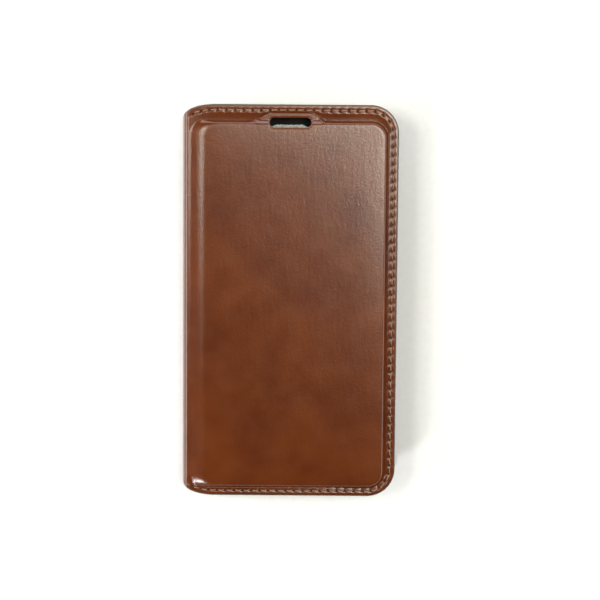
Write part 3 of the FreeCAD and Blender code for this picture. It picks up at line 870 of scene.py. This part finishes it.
def card_panel(number):
    """A rounded panel as two grids face to face: thickness from a turned mouth and a crease.

    Across u and along v, the visible face's lift is the turned edge's step, less the
    pressed crease, less a small rounding at the rim.
    """
    low, high = size_of(f"card_pocket_panel_{number}")
    u = np.concatenate([np.linspace(0, 5, 26), np.linspace(5, high[0] - low[0] - 1, 30)[1:],
                        np.linspace(high[0] - low[0] - 1, high[0] - low[0], 5)[1:]])
    v = np.concatenate([np.linspace(0, 1, 5), np.linspace(1, high[1] - low[1] - 1, 60)[1:-1],
                        np.linspace(high[1] - low[1] - 1, high[1] - low[1], 5)])
    across, along = np.meshgrid(low[0] + u, low[1] + v, indexing="ij")
    x_in = np.clip(across, low[0] + CARD_CORNER, high[0] - CARD_CORNER)
    y_in = np.clip(along, low[1] + CARD_CORNER, high[1] - CARD_CORNER)
    dx, dy = across - x_in, along - y_in
    corner = (np.abs(dx) > 0) & (np.abs(dy) > 0)
    square = np.maximum(np.abs(dx), np.abs(dy))
    reach = np.where(corner, square / np.maximum(np.hypot(dx, dy), 1e-9), 1)
    across, along = x_in + dx * reach, y_in + dy * reach
    from_mouth = across - low[0]
    rim = np.minimum.reduce([from_mouth, high[0] - across, along - low[1], high[1] - along])
    thick = high[2] - low[2]
    step = TURNED_STEP * (1 - ease(*TURNED_END, from_mouth))
    crease = CREASE_DEPTH * np.exp(-((from_mouth - CREASE_AT) / CREASE_WIDE) ** 2)
    rounding = RIM_DROP * (1 - np.sqrt(1 - (1 - np.clip(rim / RIM_WIDE, 0, 1)) ** 2))
    near_z = low[2] + TURNED_STEP - step + crease + rounding
    far_z = np.full_like(near_z, high[2] - 0.01)
    rows, columns = near_z.shape
    flat = np.stack([across, along], -1).reshape(-1, 2)
    xyz = np.concatenate([np.column_stack([flat, near_z.ravel()]),
                          np.column_stack([flat, far_z.ravel()])])
    index = np.arange(rows * columns).reshape(rows, columns)
    face = np.stack([index[:-1, :-1], index[:-1, 1:], index[1:, 1:], index[1:, :-1]], -1)
    face = face.reshape(-1, 4)
    loop = np.concatenate([index[0, :-1], index[:-1, -1], index[-1, :0:-1], index[:0:-1, 0]])
    after = np.roll(loop, -1)
    wall = np.stack([loop, loop + rows * columns, after + rows * columns, after], -1)
    print("card pocket", number, "is", round(thick, 2), "mm thick")
    return new_object(f"card_pocket_{number}", xyz, [face, face[:, ::-1] + rows * columns, wall],
                      dict(needle_holes=np.zeros(len(xyz)), edge_paint=np.zeros(len(xyz))),
                      np.concatenate([flat, flat]), sharp_deg=50)


card_pockets = [card_panel(number) for number in (1, 2, 3)]

# %% [markdown]
# ## The padding
# Under the front skin lies a thin foam sheet. It can be seen in one place only: in the earpiece slot its
# raw, ragged edge stands out a little from under the leather on the lower side. So the foam's slot is
# narrower than the leather's, and its edge wanders by a few tenths of a millimetre.

# %% Cut the foam with its ragged slot
FOAM_BOTTOM = foam_low[2] - MARGIN_Z             # lift of the foam's flat underside
UNDER_SKIN = SKIN + 0.04
THIN_FOAM = 0.15


def ragged(loop):
    """The slot's rim with its lower side brought up by about a millimetre, unevenly."""
    x, y = loop[:, 0], loop[:, 1]
    lower = 1 - ease(-1.4, -0.2, y - SLOT_Y)
    fray = 0.22 * np.sin(x * 2.9 + 0.4) + 0.16 * np.sin(x * 7.3) + 0.1 * np.sin(x * 13.7 + 1.0)
    middle = 1 - ease(SLOT_HALF - 3.2, SLOT_HALF - 0.6, np.abs(x + 0.3))
    out = loop.copy()
    out[:, 1] += lower * middle * (1.0 + fray)
    return out


def foam_under(top):
    """The foam's flat underside, which dips where the tongue is thin."""
    return np.minimum(FOAM_BOTTOM, top - THIN_FOAM)


foam_rim = ragged(slot_loop(0.02))
every = 6
slope_shares = np.array([0, 0.15, 0.3, 0.45, 0.55])
slope = rows_between(crest_ring[::every], foot_ring[::every], slope_shares)
top_lift = panel_height(crest_ring[::every])[None] * shoulder(slope_shares)[:, None] - UNDER_SKIN
foam_band = np.concatenate([slope, slope[[-1, 0]]])
foam_lift = np.concatenate([top_lift, foam_under(top_lift[[-1, 0]])])
points, faces = fill_middle(
    crest_ring[::every], foam_rim, lambda p: inside_crest(p, 1.0) & (slot_away(p) > 1.4), 3.2)
foam_top = panel_height(points) - UNDER_SKIN
foam_middle = dict(points=points, faces=faces, hole=len(foam_rim),
                   near=foam_top, far=foam_under(foam_top))
front_padding = closed_sheet("front_padding", SKIN_FOLD, foam_band, foam_lift, foam_middle)
print("padding:", len(front_padding.data.polygons), "faces")

# %% [markdown]
# ## Thread
# The seam is a lockstitch: on each face the thread comes up through one hole, lies along the leather and
# goes down through the next. So a stitch is a short tube along the seam whose lift is an arch. It is
# flattened a little, because waxed thread under tension isn't round. Its ends stop at the sides of the
# holes, below the leather's face, so each hole stays open and dark; part of that dark is painted shade in
# the leather's colour. The same arch serves the outer face, the lining and the pockets.

# %% Sew a run of stitches
AROUND = 7
ARCH = np.linspace(0.15, 0.85, 9)
ARCH_START, ARCH_SPAN, ARCH_POWER = 0.1, 0.8, 0.55
ARCH_LOW, ARCH_RISE = -0.62, 0.78
HALF_WIDE, HALF_HIGH = 0.25, 0.17
OUTWARD, SLANT = 0.20, 0.36         # a stitch lies a little outside its holes, and aslant
TWIST, WRAP_R = 0.85, 0.12          # millimetres to a turn of the plies, and the radius that
                                    # the way round a thread is measured at


def stitch_run(path_across, path_along, path_at, holes_at, fold, extra_lift=None,
               inward=False, back=False):
    """Tubes along a path between neighbouring holes.

    The centre's lift is an arch, sine to a power, and the section is an ellipse that
    narrows towards the holes. Returns points, four-sided faces, end faces and sheet places.
    """
    start, step = holes_at[:-1, None], np.diff(holes_at)[:, None]
    at = start + step * ARCH[None]
    across = np.interp(at, path_at, path_across)
    along = np.interp(at, path_at, path_along)
    direction = np.stack([np.gradient(across, axis=1), np.gradient(along, axis=1)], -1)
    direction /= np.linalg.norm(direction, axis=-1, keepdims=True)
    arch = np.sin(np.pi * (ARCH - ARCH_START) / ARCH_SPAN) ** ARCH_POWER
    lift = ARCH_LOW + ARCH_RISE * arch[None]
    lift = lift + (0 if extra_lift is None else extra_lift(at, across))
    aside = OUTWARD * arch[None] + SLANT * (ARCH - 0.5)[None]
    narrow = (0.55 + 0.45 * arch)[None, :, None]
    turn = np.arange(AROUND) * 2 * np.pi / AROUND
    wide = HALF_WIDE * narrow * np.cos(turn) + aside[..., None]
    high = HALF_HIGH * narrow * np.sin(turn)
    x_flat = across[..., None] - direction[..., 1:2] * wide
    y_flat = along[..., None] + direction[..., 0:1] * wide
    full_lift = lift[..., None] + high
    x, z = carry(fold, x_flat, -full_lift if inward else full_lift)
    z = 2 * MIDDLE_Z - z if back else z
    points = np.stack([x, y_flat, z], -1)
    count, rows, sides = points.shape[:3]
    index = np.arange(count * rows * sides).reshape(count, rows, sides)
    now, nxt = index[:, :-1], index[:, 1:]
    walls = np.stack([now, nxt, np.roll(nxt, -1, 2), np.roll(now, -1, 2)], -1).reshape(-1, 4)
    caps = np.concatenate([index[:, 0], index[:, -1, ::-1]])
    if inward != back:
        walls, caps = walls[:, ::-1], caps[:, ::-1]
    place = np.stack(np.broadcast_arrays(at[..., None], turn * WRAP_R), -1).reshape(-1, 2)
    return points.reshape(-1, 3), walls, caps, place


def sew(name, runs):
    """One thread object made of several runs."""
    points, walls, caps, places, start = [], [], [], [], 0
    for run in runs:
        points.append(run[0])
        walls.append(run[1] + start)
        caps.append(run[2] + start)
        places.append(run[3])
        start += len(run[0])
    thread = new_object(name, np.concatenate(points), walls + caps, None, np.concatenate(places))
    print(name, "has", sum(len(cap) for cap in caps) // 2, "stitches")
    return thread


holes_at = (FIRST_HOLE + PER_STITCH * np.arange(stitch_count + 1)) * COLUMN_STEP
seam_path = (seam_ring[:sewn_columns + 1, 0], seam_ring[:sewn_columns + 1, 1], seam_at, holes_at)


def over_cash_panel(at, across):
    """Inside the front, the thread lies on the lining, or on the cash panel above it."""
    return (lining_low[2] - cash_low[2]) * ease(CASH_MOUTH - 0.6, CASH_MOUTH + 0.6, across)


def over_rim(at, across):
    """Outside, the thread lies on the raised rim."""
    return np.interp(at, seam_at, rim_ramp(1)[0, :sewn_columns + 1])


front_thread = sew("front_seam_thread", [
    stitch_run(*seam_path, SKIN_FOLD, over_rim),
    stitch_run(*seam_path, LINING_FOLD, over_cash_panel, inward=True)])
back_thread = sew("back_seam_thread", [
    stitch_run(*seam_path, SKIN_FOLD, over_rim, back=True),
    stitch_run(*seam_path, LINING_FOLD, inward=True, back=True)])

# %% Sew down the ends of the card panels
card_low, card_high = size_of("card_pocket_panel_3")
card_runs = []
for row_y in (card_low[1] + 1.8, card_high[1] - 1.8):
    row_x = np.array([card_low[0] + 2.0, card_high[0] - 4.4])
    row_holes = np.linspace(row_x[0], row_x[1], round((row_x[1] - row_x[0]) / STITCH_PITCH) + 1)
    card_runs.append(stitch_run(row_x, np.array([row_y, row_y]), row_x, row_holes,
                                level_fold(card_low[2] + 0.1), inward=True))
pocket_thread = sew("pocket_seam_thread", card_runs)

# %% [markdown]
# ## What each piece stands for, and how it moves
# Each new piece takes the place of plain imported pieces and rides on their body. The skins and the linings
# cross the folds, so they blend: they follow their cover up to the bend, and the spine beyond it.

# %% Join the pieces to the bodies
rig.replaces(front_skin, "front_leather", "spine_leather")
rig.replaces(back_skin, "back_leather")
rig.replaces(front_lining, "front_lining", "spine_lining")
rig.replaces(back_lining, "back_lining")
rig.replaces(front_padding, "front_foam")
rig.replaces(front_thread, "front_stitches")
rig.replaces(back_thread, "back_stitches")
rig.replaces(pocket_thread, "pocket_stitches")
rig.replaces(cash_pocket, "cash_pocket_panel")
for number, pocket in enumerate(card_pockets, 1):
    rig.replaces(pocket, f"card_pocket_panel_{number}")

for piece in (front_padding, front_thread, pocket_thread, cash_pocket, *card_pockets):
    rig.ride(piece, "front_cover")
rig.ride(back_thread, "back_cover")
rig.padded(front_padding, fill=0.9)


def bend_ends(fold, half_sheet, back):
    """Where a blend starts and ends: across the bend, from its flat end to its far end."""
    radius = fold["bend_r"]
    start = Vector((fold["bend_x"] + 0.2, 0, fold["level"] - half_sheet))
    end = Vector((fold["bend_x"] - radius, 0, fold["level"] - radius))
    for point in (start, end):
        point.z = 2 * MIDDLE_Z - point.z if back else point.z
    return dict(start=start * MM, end=end * MM)


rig.blend(front_skin, "front_cover", "spine", **bend_ends(SKIN_FOLD, SKIN / 2, False))
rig.blend(back_skin, "back_cover", "spine", **bend_ends(SKIN_FOLD, SKIN / 2, True))
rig.blend(front_lining, "front_cover", "spine", **bend_ends(LINING_FOLD, 0.0, False))
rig.blend(back_lining, "back_cover", "spine", **bend_ends(LINING_FOLD, 0.0, True))

# %% [markdown]
# ## Finishes
# The leather is a fabric backing with a dyed and glossy coat. Up close it has pores and fine wrinkles, and
# its dye is cloudy: darker and lighter patches a centimetre or two across. Patterns are laid in flat-sheet
# coordinates, in millimetres, so they run on round the bend and don't slide when the case is opened.
# What several finishes share is a node group, and each material gives it its own values.

# %% Tools for finishes
def add(tree, kind, links=None, **values):
    """A node of a kind, with input values by name and links from other sockets."""
    node = tree.nodes.new(kind)
    for key, value in values.items():
        if key in node.bl_rna.properties and key not in node.inputs:
            setattr(node, key, value)
        else:
            node.inputs[key.replace("_", " ")].default_value = value
    for key, socket in (links or {}).items():
        tree.links.new(socket, node.inputs[key])
    return node


def scale_to_range(tree, socket, low, high, out_low=0.0, out_high=1.0):
    """A value spread from one range to another, and held at the ends."""
    node = add(tree, "ShaderNodeMapRange", {0: socket})
    for key, value in zip((1, 2, 3, 4), (low, high, out_low, out_high)):
        node.inputs[key].default_value = value
    return node.outputs[0]


def blend_colours(tree, share, low, high):
    """A colour between two, each a tuple or a socket."""
    node = tree.nodes.new("ShaderNodeMix")
    node.data_type = "RGBA"
    tree.links.new(share, node.inputs[0])
    for key, colour in ((6, low), (7, high)):
        if isinstance(colour, tuple):
            node.inputs[key].default_value = (*colour, 1)
        else:
            tree.links.new(colour, node.inputs[key])
    return node.outputs[2]


def calculate(tree, operation, *values):
    """A maths node on numbers and sockets."""
    node = tree.nodes.new("ShaderNodeMath")
    node.operation = operation
    for key, value in enumerate(values):
        if isinstance(value, (int, float)):
            node.inputs[key].default_value = value
        else:
            tree.links.new(value, node.inputs[key])
    return node.outputs[0]


def new_group(name, inputs, outputs):
    """An empty shader group with named sockets: (name, kind, default) and (name, kind)."""
    tree = bpy.data.node_groups.new(name, "ShaderNodeTree")
    for key, kind, default in inputs:
        socket = tree.interface.new_socket(key, in_out="INPUT", socket_type=kind)
        if default is not None:
            socket.default_value = default
    for key, kind in outputs:
        tree.interface.new_socket(key, in_out="OUTPUT", socket_type=kind)
    return tree, tree.nodes.new("NodeGroupInput"), tree.nodes.new("NodeGroupOutput")


def use_group(tree, group, links, **values):
    """A group placed in a material, with values by name and links from other sockets."""
    node = tree.nodes.new("ShaderNodeGroup")
    node.node_tree = group
    for key, value in values.items():
        node.inputs[key.replace("_", " ")].default_value = value
    for key, socket in links.items():
        tree.links.new(socket, node.inputs[key])
    return node


def new_finish(name, **settings):
    """A material with a Principled shader whose even values are set on its own sockets."""
    finish = bpy.data.materials.new(name)
    finish.use_nodes = True
    shader = finish.node_tree.nodes["Principled BSDF"]
    for key, value in settings.items():
        shader.inputs[key.replace("_", " ")].default_value = value
    return finish, finish.node_tree, shader


def in_millimetres(tree, source="UV"):
    """Coordinates in millimetres: of the flat sheet, or of the object."""
    if source == "UV":
        place = add(tree, "ShaderNodeUVMap", uv_map="flat_sheet").outputs[0]
    else:
        place = tree.nodes.new("ShaderNodeTexCoord").outputs["Object"]
    mapping = add(tree, "ShaderNodeMapping", {"Vector": place})
    mapping.inputs["Scale"].default_value = (1 / MM,) * 3
    return mapping.outputs[0]


# %% Dye clouds
# Two noises: slow clouds a couple of centimetres across, and a mottle of less than half their size.
dye_clouds, group_in, group_out = new_group(
    "dye_clouds", [("Vector", "NodeSocketVector", None), ("Size", "NodeSocketFloat", 22.0)],
    [("Cloud", "NodeSocketFloat"), ("Mottle", "NodeSocketFloat")])
per_mm = calculate(dye_clouds, "DIVIDE", 1.0, group_in.outputs["Size"])
cloud = add(dye_clouds, "ShaderNodeTexNoise",
            {"Vector": group_in.outputs["Vector"], "Scale": per_mm}, Detail=2.5, Roughness=0.5)
cloud.inputs["Distortion"].default_value = 0.4
finer = calculate(dye_clouds, "MULTIPLY", per_mm, 2.4)
mottle = add(dye_clouds, "ShaderNodeTexNoise",
             {"Vector": group_in.outputs["Vector"], "Scale": finer}, Detail=3.0, Roughness=0.5)
dye_clouds.links.new(scale_to_range(dye_clouds, cloud.outputs[0], 0.28, 0.72), group_out.inputs[0])
dye_clouds.links.new(scale_to_range(dye_clouds, mottle.outputs[0], 0.25, 0.80), group_out.inputs[1])

# %% Leather grain
# Pebbles from a cell pattern, whose places a noise has moved, and wrinkles that run along the case.
leather_grain, group_in, group_out = new_group(
    "leather_grain", [("Vector", "NodeSocketVector", None), ("Pebble", "NodeSocketFloat", 0.7),
                      ("Wrinkle", "NodeSocketFloat", 0.5)],
    [("Height", "NodeSocketFloat")])
push = add(leather_grain, "ShaderNodeTexNoise", {"Vector": group_in.outputs["Vector"]},
           Scale=0.8, Detail=2.0)
push_by = add(leather_grain, "ShaderNodeVectorMath", {0: push.outputs[1]}, operation="SCALE")
push_by.inputs["Scale"].default_value = 0.9
moved = add(leather_grain, "ShaderNodeVectorMath",
            {0: group_in.outputs["Vector"], 1: push_by.outputs[0]}, operation="ADD")
pebble_scale = calculate(leather_grain, "DIVIDE", 1.0, group_in.outputs["Pebble"])
pebbles = add(leather_grain, "ShaderNodeTexVoronoi",
              {"Vector": moved.outputs[0], "Scale": pebble_scale}, feature="F1")
stretch = add(leather_grain, "ShaderNodeMapping", {"Vector": moved.outputs[0]})
stretch.inputs["Scale"].default_value = (0.75, 0.20, 1)
stretch.inputs["Rotation"].default_value = (0, 0, 0.12)
creases = add(leather_grain, "ShaderNodeTexNoise", {"Vector": stretch.outputs[0]},
              Scale=1.0, Detail=3.0, Roughness=0.55)
soft = calculate(leather_grain, "MULTIPLY", creases.outputs[0], group_in.outputs["Wrinkle"])
pore = calculate(leather_grain, "MULTIPLY", pebbles.outputs["Distance"], -0.22)
leather_grain.links.new(calculate(leather_grain, "ADD", soft, pore), group_out.inputs[0])


# %% The coated leather
# painted shade: the colour mixed into the needle holes' pits, standing in for the shade inside them
HOLE_SHADE = (0.026, 0.005, 0.0015)
EDGE_PAINT = (0.055, 0.030, 0.021)
CLOUD_SIZE = 24.0                   # millimetres
GLOW_SHARE = 0.35                   # how much of the glow colour a patch of mottle takes


def coated_leather(name, dark, light, glow, gloss, wrinkle):
    """Dyed, coated leather: cloudy colour, needle holes darkened with painted shade, and a painted cut edge."""
    finish, tree, shader = new_finish(name, Coat_Weight=gloss, Coat_Roughness=0.2)
    place = in_millimetres(tree)
    clouds = use_group(tree, dye_clouds, {"Vector": place}, Size=CLOUD_SIZE)
    colour = blend_colours(tree, clouds.outputs["Cloud"], dark, light)
    patches = calculate(tree, "MULTIPLY", clouds.outputs["Mottle"], GLOW_SHARE)
    colour = blend_colours(tree, patches, colour, glow)
    # painted shade: where the needle holes are, the base colour itself is darkened; the roughness they add below is
    # real
    holes = add(tree, "ShaderNodeAttribute", attribute_name="needle_holes").outputs["Fac"]
    colour = blend_colours(tree, scale_to_range(tree, holes, 0.08, 0.45), colour, HOLE_SHADE)
    paint = add(tree, "ShaderNodeAttribute", attribute_name="edge_paint").outputs["Fac"]
    colour = blend_colours(tree, paint, colour, EDGE_PAINT)
    tree.links.new(colour, shader.inputs["Base Color"])
    rough = scale_to_range(tree, clouds.outputs["Mottle"], 0, 1, 0.21, 0.25)
    rough = calculate(tree, "MULTIPLY_ADD", paint, 0.2, rough)
    tree.links.new(calculate(tree, "MULTIPLY_ADD", holes, 0.6, rough), shader.inputs["Roughness"])
    grain = use_group(tree, leather_grain, {"Vector": place}, Wrinkle=wrinkle)
    bump = add(tree, "ShaderNodeBump", {"Height": grain.outputs[0]}, Strength=0.4, Distance=0.2 * MM)
    tree.links.new(bump.outputs[0], shader.inputs["Normal"])
    return finish


brown_leather = coated_leather("brown_leather", (0.068, 0.0118, 0.0016), (0.110, 0.0225, 0.0028),
                               (0.146, 0.036, 0.0060), 0.10, 0.6)
pocket_leather = coated_leather("pocket_leather", (0.080, 0.022, 0.0085), (0.120, 0.034, 0.013),
                                (0.14, 0.045, 0.02), 0.12, 0.3)
print("leathers made")

# %% [markdown]
# ## Small patterns that several finishes share
# Raw board, foam, suede and moulded rubber all have a fine speckle, at different sizes. Steel strips and
# plated magnets have fine scratches along their length. Each is one group.

# %% Speckle, and brushed lines
speckle, group_in, group_out = new_group(
    "speckle", [("Vector", "NodeSocketVector", None), ("Grains per mm", "NodeSocketFloat", 2.0)],
    [("Value", "NodeSocketFloat")])
grains = add(speckle, "ShaderNodeTexNoise", {"Vector": group_in.outputs["Vector"],
                                             "Scale": group_in.outputs["Grains per mm"]},
             Detail=4.0, Roughness=0.7)
speckle.links.new(scale_to_range(speckle, grains.outputs[0], 0.32, 0.68), group_out.inputs[0])

brushed, group_in, group_out = new_group(
    "brushed_lines", [("Vector", "NodeSocketVector", None)], [("Value", "NodeSocketFloat")])
long_lines = add(brushed, "ShaderNodeMapping", {"Vector": group_in.outputs["Vector"]})
long_lines.inputs["Scale"].default_value = (9.0, 0.25, 9.0)
lines = add(brushed, "ShaderNodeTexNoise", {"Vector": long_lines.outputs[0]}, Scale=1.0, Detail=3.0)
brushed.links.new(scale_to_range(brushed, lines.outputs[0], 0.3, 0.7), group_out.inputs[0])


def speckled(name, dark, light, grains_per_mm, rough, bump_mm, source="Object", **settings):
    """A matt or satin finish: two colours mixed by a speckle, which also roughens it."""
    finish, tree, shader = new_finish(name, **settings)
    place = in_millimetres(tree, source)
    grain = use_group(tree, speckle, {"Vector": place}, Grains_per_mm=grains_per_mm).outputs[0]
    tree.links.new(blend_colours(tree, grain, dark, light), shader.inputs["Base Color"])
    tree.links.new(scale_to_range(tree, grain, 0, 1, *rough), shader.inputs["Roughness"])
    bump = add(tree, "ShaderNodeBump", {"Height": grain}, Strength=0.6, Distance=bump_mm * MM)
    tree.links.new(bump.outputs[0], shader.inputs["Normal"])
    return finish


suede = speckled("suede_lining", (0.070, 0.026, 0.013), (0.150, 0.058, 0.030), 3.2, (0.85, 0.98), 0.12,
                 source="UV", Sheen_Weight=0.35, Sheen_Roughness=0.5)
moulding = speckled("moulded_shell", (0.0045, 0.0040, 0.0036), (0.009, 0.0078, 0.0070), 4.5,
                    (0.5, 0.65), 0.03, Specular_IOR_Level=0.2)
raw_board = speckled("raw_board", (0.42, 0.38, 0.32), (0.66, 0.63, 0.57), 2.2, (0.8, 0.95), 0.08)
raw_foam = speckled("raw_foam", (0.05, 0.045, 0.04), (0.60, 0.58, 0.54), 1.9, (0.85, 1.0), 0.40)
film = speckled("adhesive_film", (0.60, 0.60, 0.55), (0.72, 0.72, 0.68), 0.9, (0.25, 0.4), 0.02)
print("plain finishes made")


# %% Brushed metal and twisted thread
def brushed_metal(name, dark, light, rough):
    """Bare or plated steel: scratches along y change the colour and the roughness a little."""
    finish, tree, shader = new_finish(name, Metallic=1.0)
    value = use_group(tree, brushed, {"Vector": in_millimetres(tree, "Object")}).outputs[0]
    tree.links.new(blend_colours(tree, value, dark, light), shader.inputs["Base Color"])
    tree.links.new(scale_to_range(tree, value, 0, 1, *rough), shader.inputs["Roughness"])
    bump = add(tree, "ShaderNodeBump", {"Height": value}, Strength=0.3, Distance=0.01 * MM)
    tree.links.new(bump.outputs[0], shader.inputs["Normal"])
    return finish


plated_magnet = brushed_metal("plated_magnet", (0.50, 0.50, 0.51), (0.62, 0.62, 0.63), (0.22, 0.36))
spring_steel = brushed_metal("steel_strip", (0.40, 0.40, 0.41), (0.55, 0.55, 0.54), (0.3, 0.46))


def waxed_thread(name, dark, light):
    """Two plies twisted together: stripes that climb round the thread as they go along it."""
    finish, tree, shader = new_finish(name, Specular_IOR_Level=0.2)
    parts = tree.nodes.new("ShaderNodeSeparateXYZ")
    tree.links.new(in_millimetres(tree), parts.inputs[0])
    along = calculate(tree, "MULTIPLY", parts.outputs[0], 2 * np.pi / TWIST)
    around = calculate(tree, "MULTIPLY", parts.outputs[1], 2 / WRAP_R)
    wave = calculate(tree, "ABSOLUTE", calculate(tree, "SINE", calculate(tree, "ADD", along, around)))
    tree.links.new(blend_colours(tree, wave, dark, light), shader.inputs["Base Color"])
    tree.links.new(scale_to_range(tree, wave, 0, 1, 0.6, 0.42), shader.inputs["Roughness"])
    bump = add(tree, "ShaderNodeBump", {"Height": wave}, Strength=0.6, Distance=0.06 * MM)
    tree.links.new(bump.outputs[0], shader.inputs["Normal"])
    return finish


thread_finish = waxed_thread("waxed_thread", (0.140, 0.056, 0.028), (0.360, 0.180, 0.100))

# %% Dress every piece
new_finishes = {
    front_skin: (brown_leather, "brown_leather"), back_skin: (brown_leather, "brown_leather"),
    front_lining: (suede, "lining"), back_lining: (suede, "lining"),
    cash_pocket: (pocket_leather, "card_leather"), front_padding: (raw_foam, "foam"),
    front_thread: (thread_finish, "thread"), back_thread: (thread_finish, "thread"),
    pocket_thread: (thread_finish, "thread"),
}
new_finishes.update({pocket: (pocket_leather, "card_leather") for pocket in card_pockets})
for piece, (finish, record_slot) in new_finishes.items():
    piece.data.materials.append(finish)
    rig.slot(piece, record_slot)

packed_finishes = {
    "phone_shell": moulding, "shell_adhesive_pad": film,
    "front_board": raw_board, "back_board": raw_board, "spine_board": raw_board,
    "front_magnet_upper": plated_magnet, "front_magnet_lower": plated_magnet,
    "shell_keeper_upper": spring_steel, "shell_keeper_lower": spring_steel,
}
for node, finish in packed_finishes.items():
    for material_slot in frame["nodes"][node].material_slots:
        material_slot.material = finish
print(len(new_finishes), "new pieces and", len(packed_finishes), "packed ones have their finish")

# %% [markdown]
# ## Cloth sizes
# The skins and the linings are sheets, cut flat and then glued and sewn down. Their flat size is measured
# on the flat sheet: from the middle of the spine to the free side, by the length of the case.

for sheet, fold, gap in ((front_skin, SKIN_FOLD, 0.0), (back_skin, SKIN_FOLD, 0.0),
                         (front_lining, LINING_FOLD, SIDE_GAP),
                         (back_lining, LINING_FOLD, SIDE_GAP)):
    wide = (RIGHT - gap - fold["end"]) * MM
    long = 2 * (TOP - gap) * MM
    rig.sheet(sheet, flat=(wide, long), held="stretched")
    print(sheet.name, "was cut", round(wide * 1000, 1), "x", round(long * 1000, 1), "mm")

# %% [markdown]
# ## Floor, light and camera
# The case lies on a plain white floor in a studio: pale walls, a dark ceiling and soft boxes. Glossy
# leather shows what is above it, so the ceiling stays dark. Two warm boxes high up beyond the slot end put
# a veil of light on the upper part of the panel and on its free corner, and a third lights the roll by the
# spine. A small box puts a spot on the corner of the spine. Three low boxes light the floor: they are so
# low that only steep edges mirror them.

# %% Floor and walls
floor_mesh = bpy.data.meshes.new("floor")
floor_mesh.from_pydata([(-4, -4, 0), (4, -4, 0), (4, 4, 0), (-4, 4, 0)], [], [(0, 1, 2, 3)])
floor = bpy.data.objects.new("floor", floor_mesh)
bpy.context.scene.collection.objects.link(floor)
floor_mesh.materials.append(speckled("floor_paper", (0.86, 0.86, 0.86), (0.90, 0.90, 0.90), 0.4,
                                     (0.8, 0.9), 0.0))
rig.stage(floor)

studio = bpy.data.worlds.new("studio")
bpy.context.scene.world = studio
studio.use_nodes = True
sky = studio.node_tree
direction = sky.nodes.new("ShaderNodeTexCoord").outputs["Generated"]
height = add(sky, "ShaderNodeSeparateXYZ", {0: direction}).outputs[2]
ceiling = scale_to_range(sky, height, 0.10, 0.5)
sky.links.new(blend_colours(sky, ceiling, (0.95, 0.96, 0.98), (0.004, 0.004, 0.004)),
              sky.nodes["Background"].inputs["Color"])

# %% Soft boxes
CENTRE = Vector((0, 0, MARGIN_Z * MM))


def soft_box(name, across_deg, along_deg, distance, width, length, power, colour=(1, 1, 1)):
    """A lamp seen from the case at these angles off straight up, facing the case."""
    toward = Vector((np.tan(np.radians(across_deg)), np.tan(np.radians(along_deg)), 1)).normalized()
    lamp = bpy.data.lights.new(name, "AREA")
    lamp.shape = "RECTANGLE"
    lamp.color = colour
    lamp.size, lamp.size_y, lamp.energy = width, length, power
    box = bpy.data.objects.new(name, lamp)
    box.location = CENTRE + toward * distance
    box.rotation_euler = toward.to_track_quat("Z", "Y").to_euler()
    bpy.context.scene.collection.objects.link(box)
    return box


WARM, COOL = (1.0, 0.97, 0.84), (0.95, 0.98, 1.0)
soft_box("veil_light", 0, 11, 1.2, 0.60, 0.25, 1.4, WARM)
soft_box("corner_veil_light", 13, 7.5, 1.2, 0.34, 0.32, 5.0, WARM)
soft_box("roll_light", -28, 11, 1.2, 0.46, 0.26, 4.4, WARM)
soft_box("left_light", -72, 15, 1.5, 1.2, 0.8, 18.5, COOL)
soft_box("right_light", 73, 15, 1.5, 2.0, 0.8, 14.5, COOL)
soft_box("corner_light", -42, -48, 1.3, 0.20, 0.20, 7.0)
soft_box("far_light", 0, 75, 1.5, 2.4, 0.7, 16.5, COOL)
bpy.context.scene.view_settings.view_transform = "Standard"

# %% Camera
AWAY = 0.7                       # metres
TIP, LEAN, ROLL = np.radians((6.02, 0.0, -0.45))
aim = Vector((4.15, 0.88, MARGIN_Z)) * MM
turned = (Matrix.Rotation(ROLL, 3, "Z") @ Matrix.Rotation(LEAN, 3, "Y")
          @ Matrix.Rotation(TIP, 3, "X")).transposed()
lens = bpy.data.cameras.new("camera")
lens.lens = 108.3
camera = bpy.data.objects.new("camera", lens)
camera.matrix_world = Matrix.Translation(aim + turned @ Vector((0, 0, AWAY))) @ turned.to_4x4()
bpy.context.scene.collection.objects.link(camera)
bpy.context.scene.camera = camera

# %% Size and finish
visual_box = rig.bounds()
with open("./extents.json", "w") as size_file:
    json.dump({"cad": [list(corner) for corner in packed_box],
               "visual": [list(corner) for corner in visual_box]}, size_file)
print("packed box", packed_box, "and visual box", visual_box)
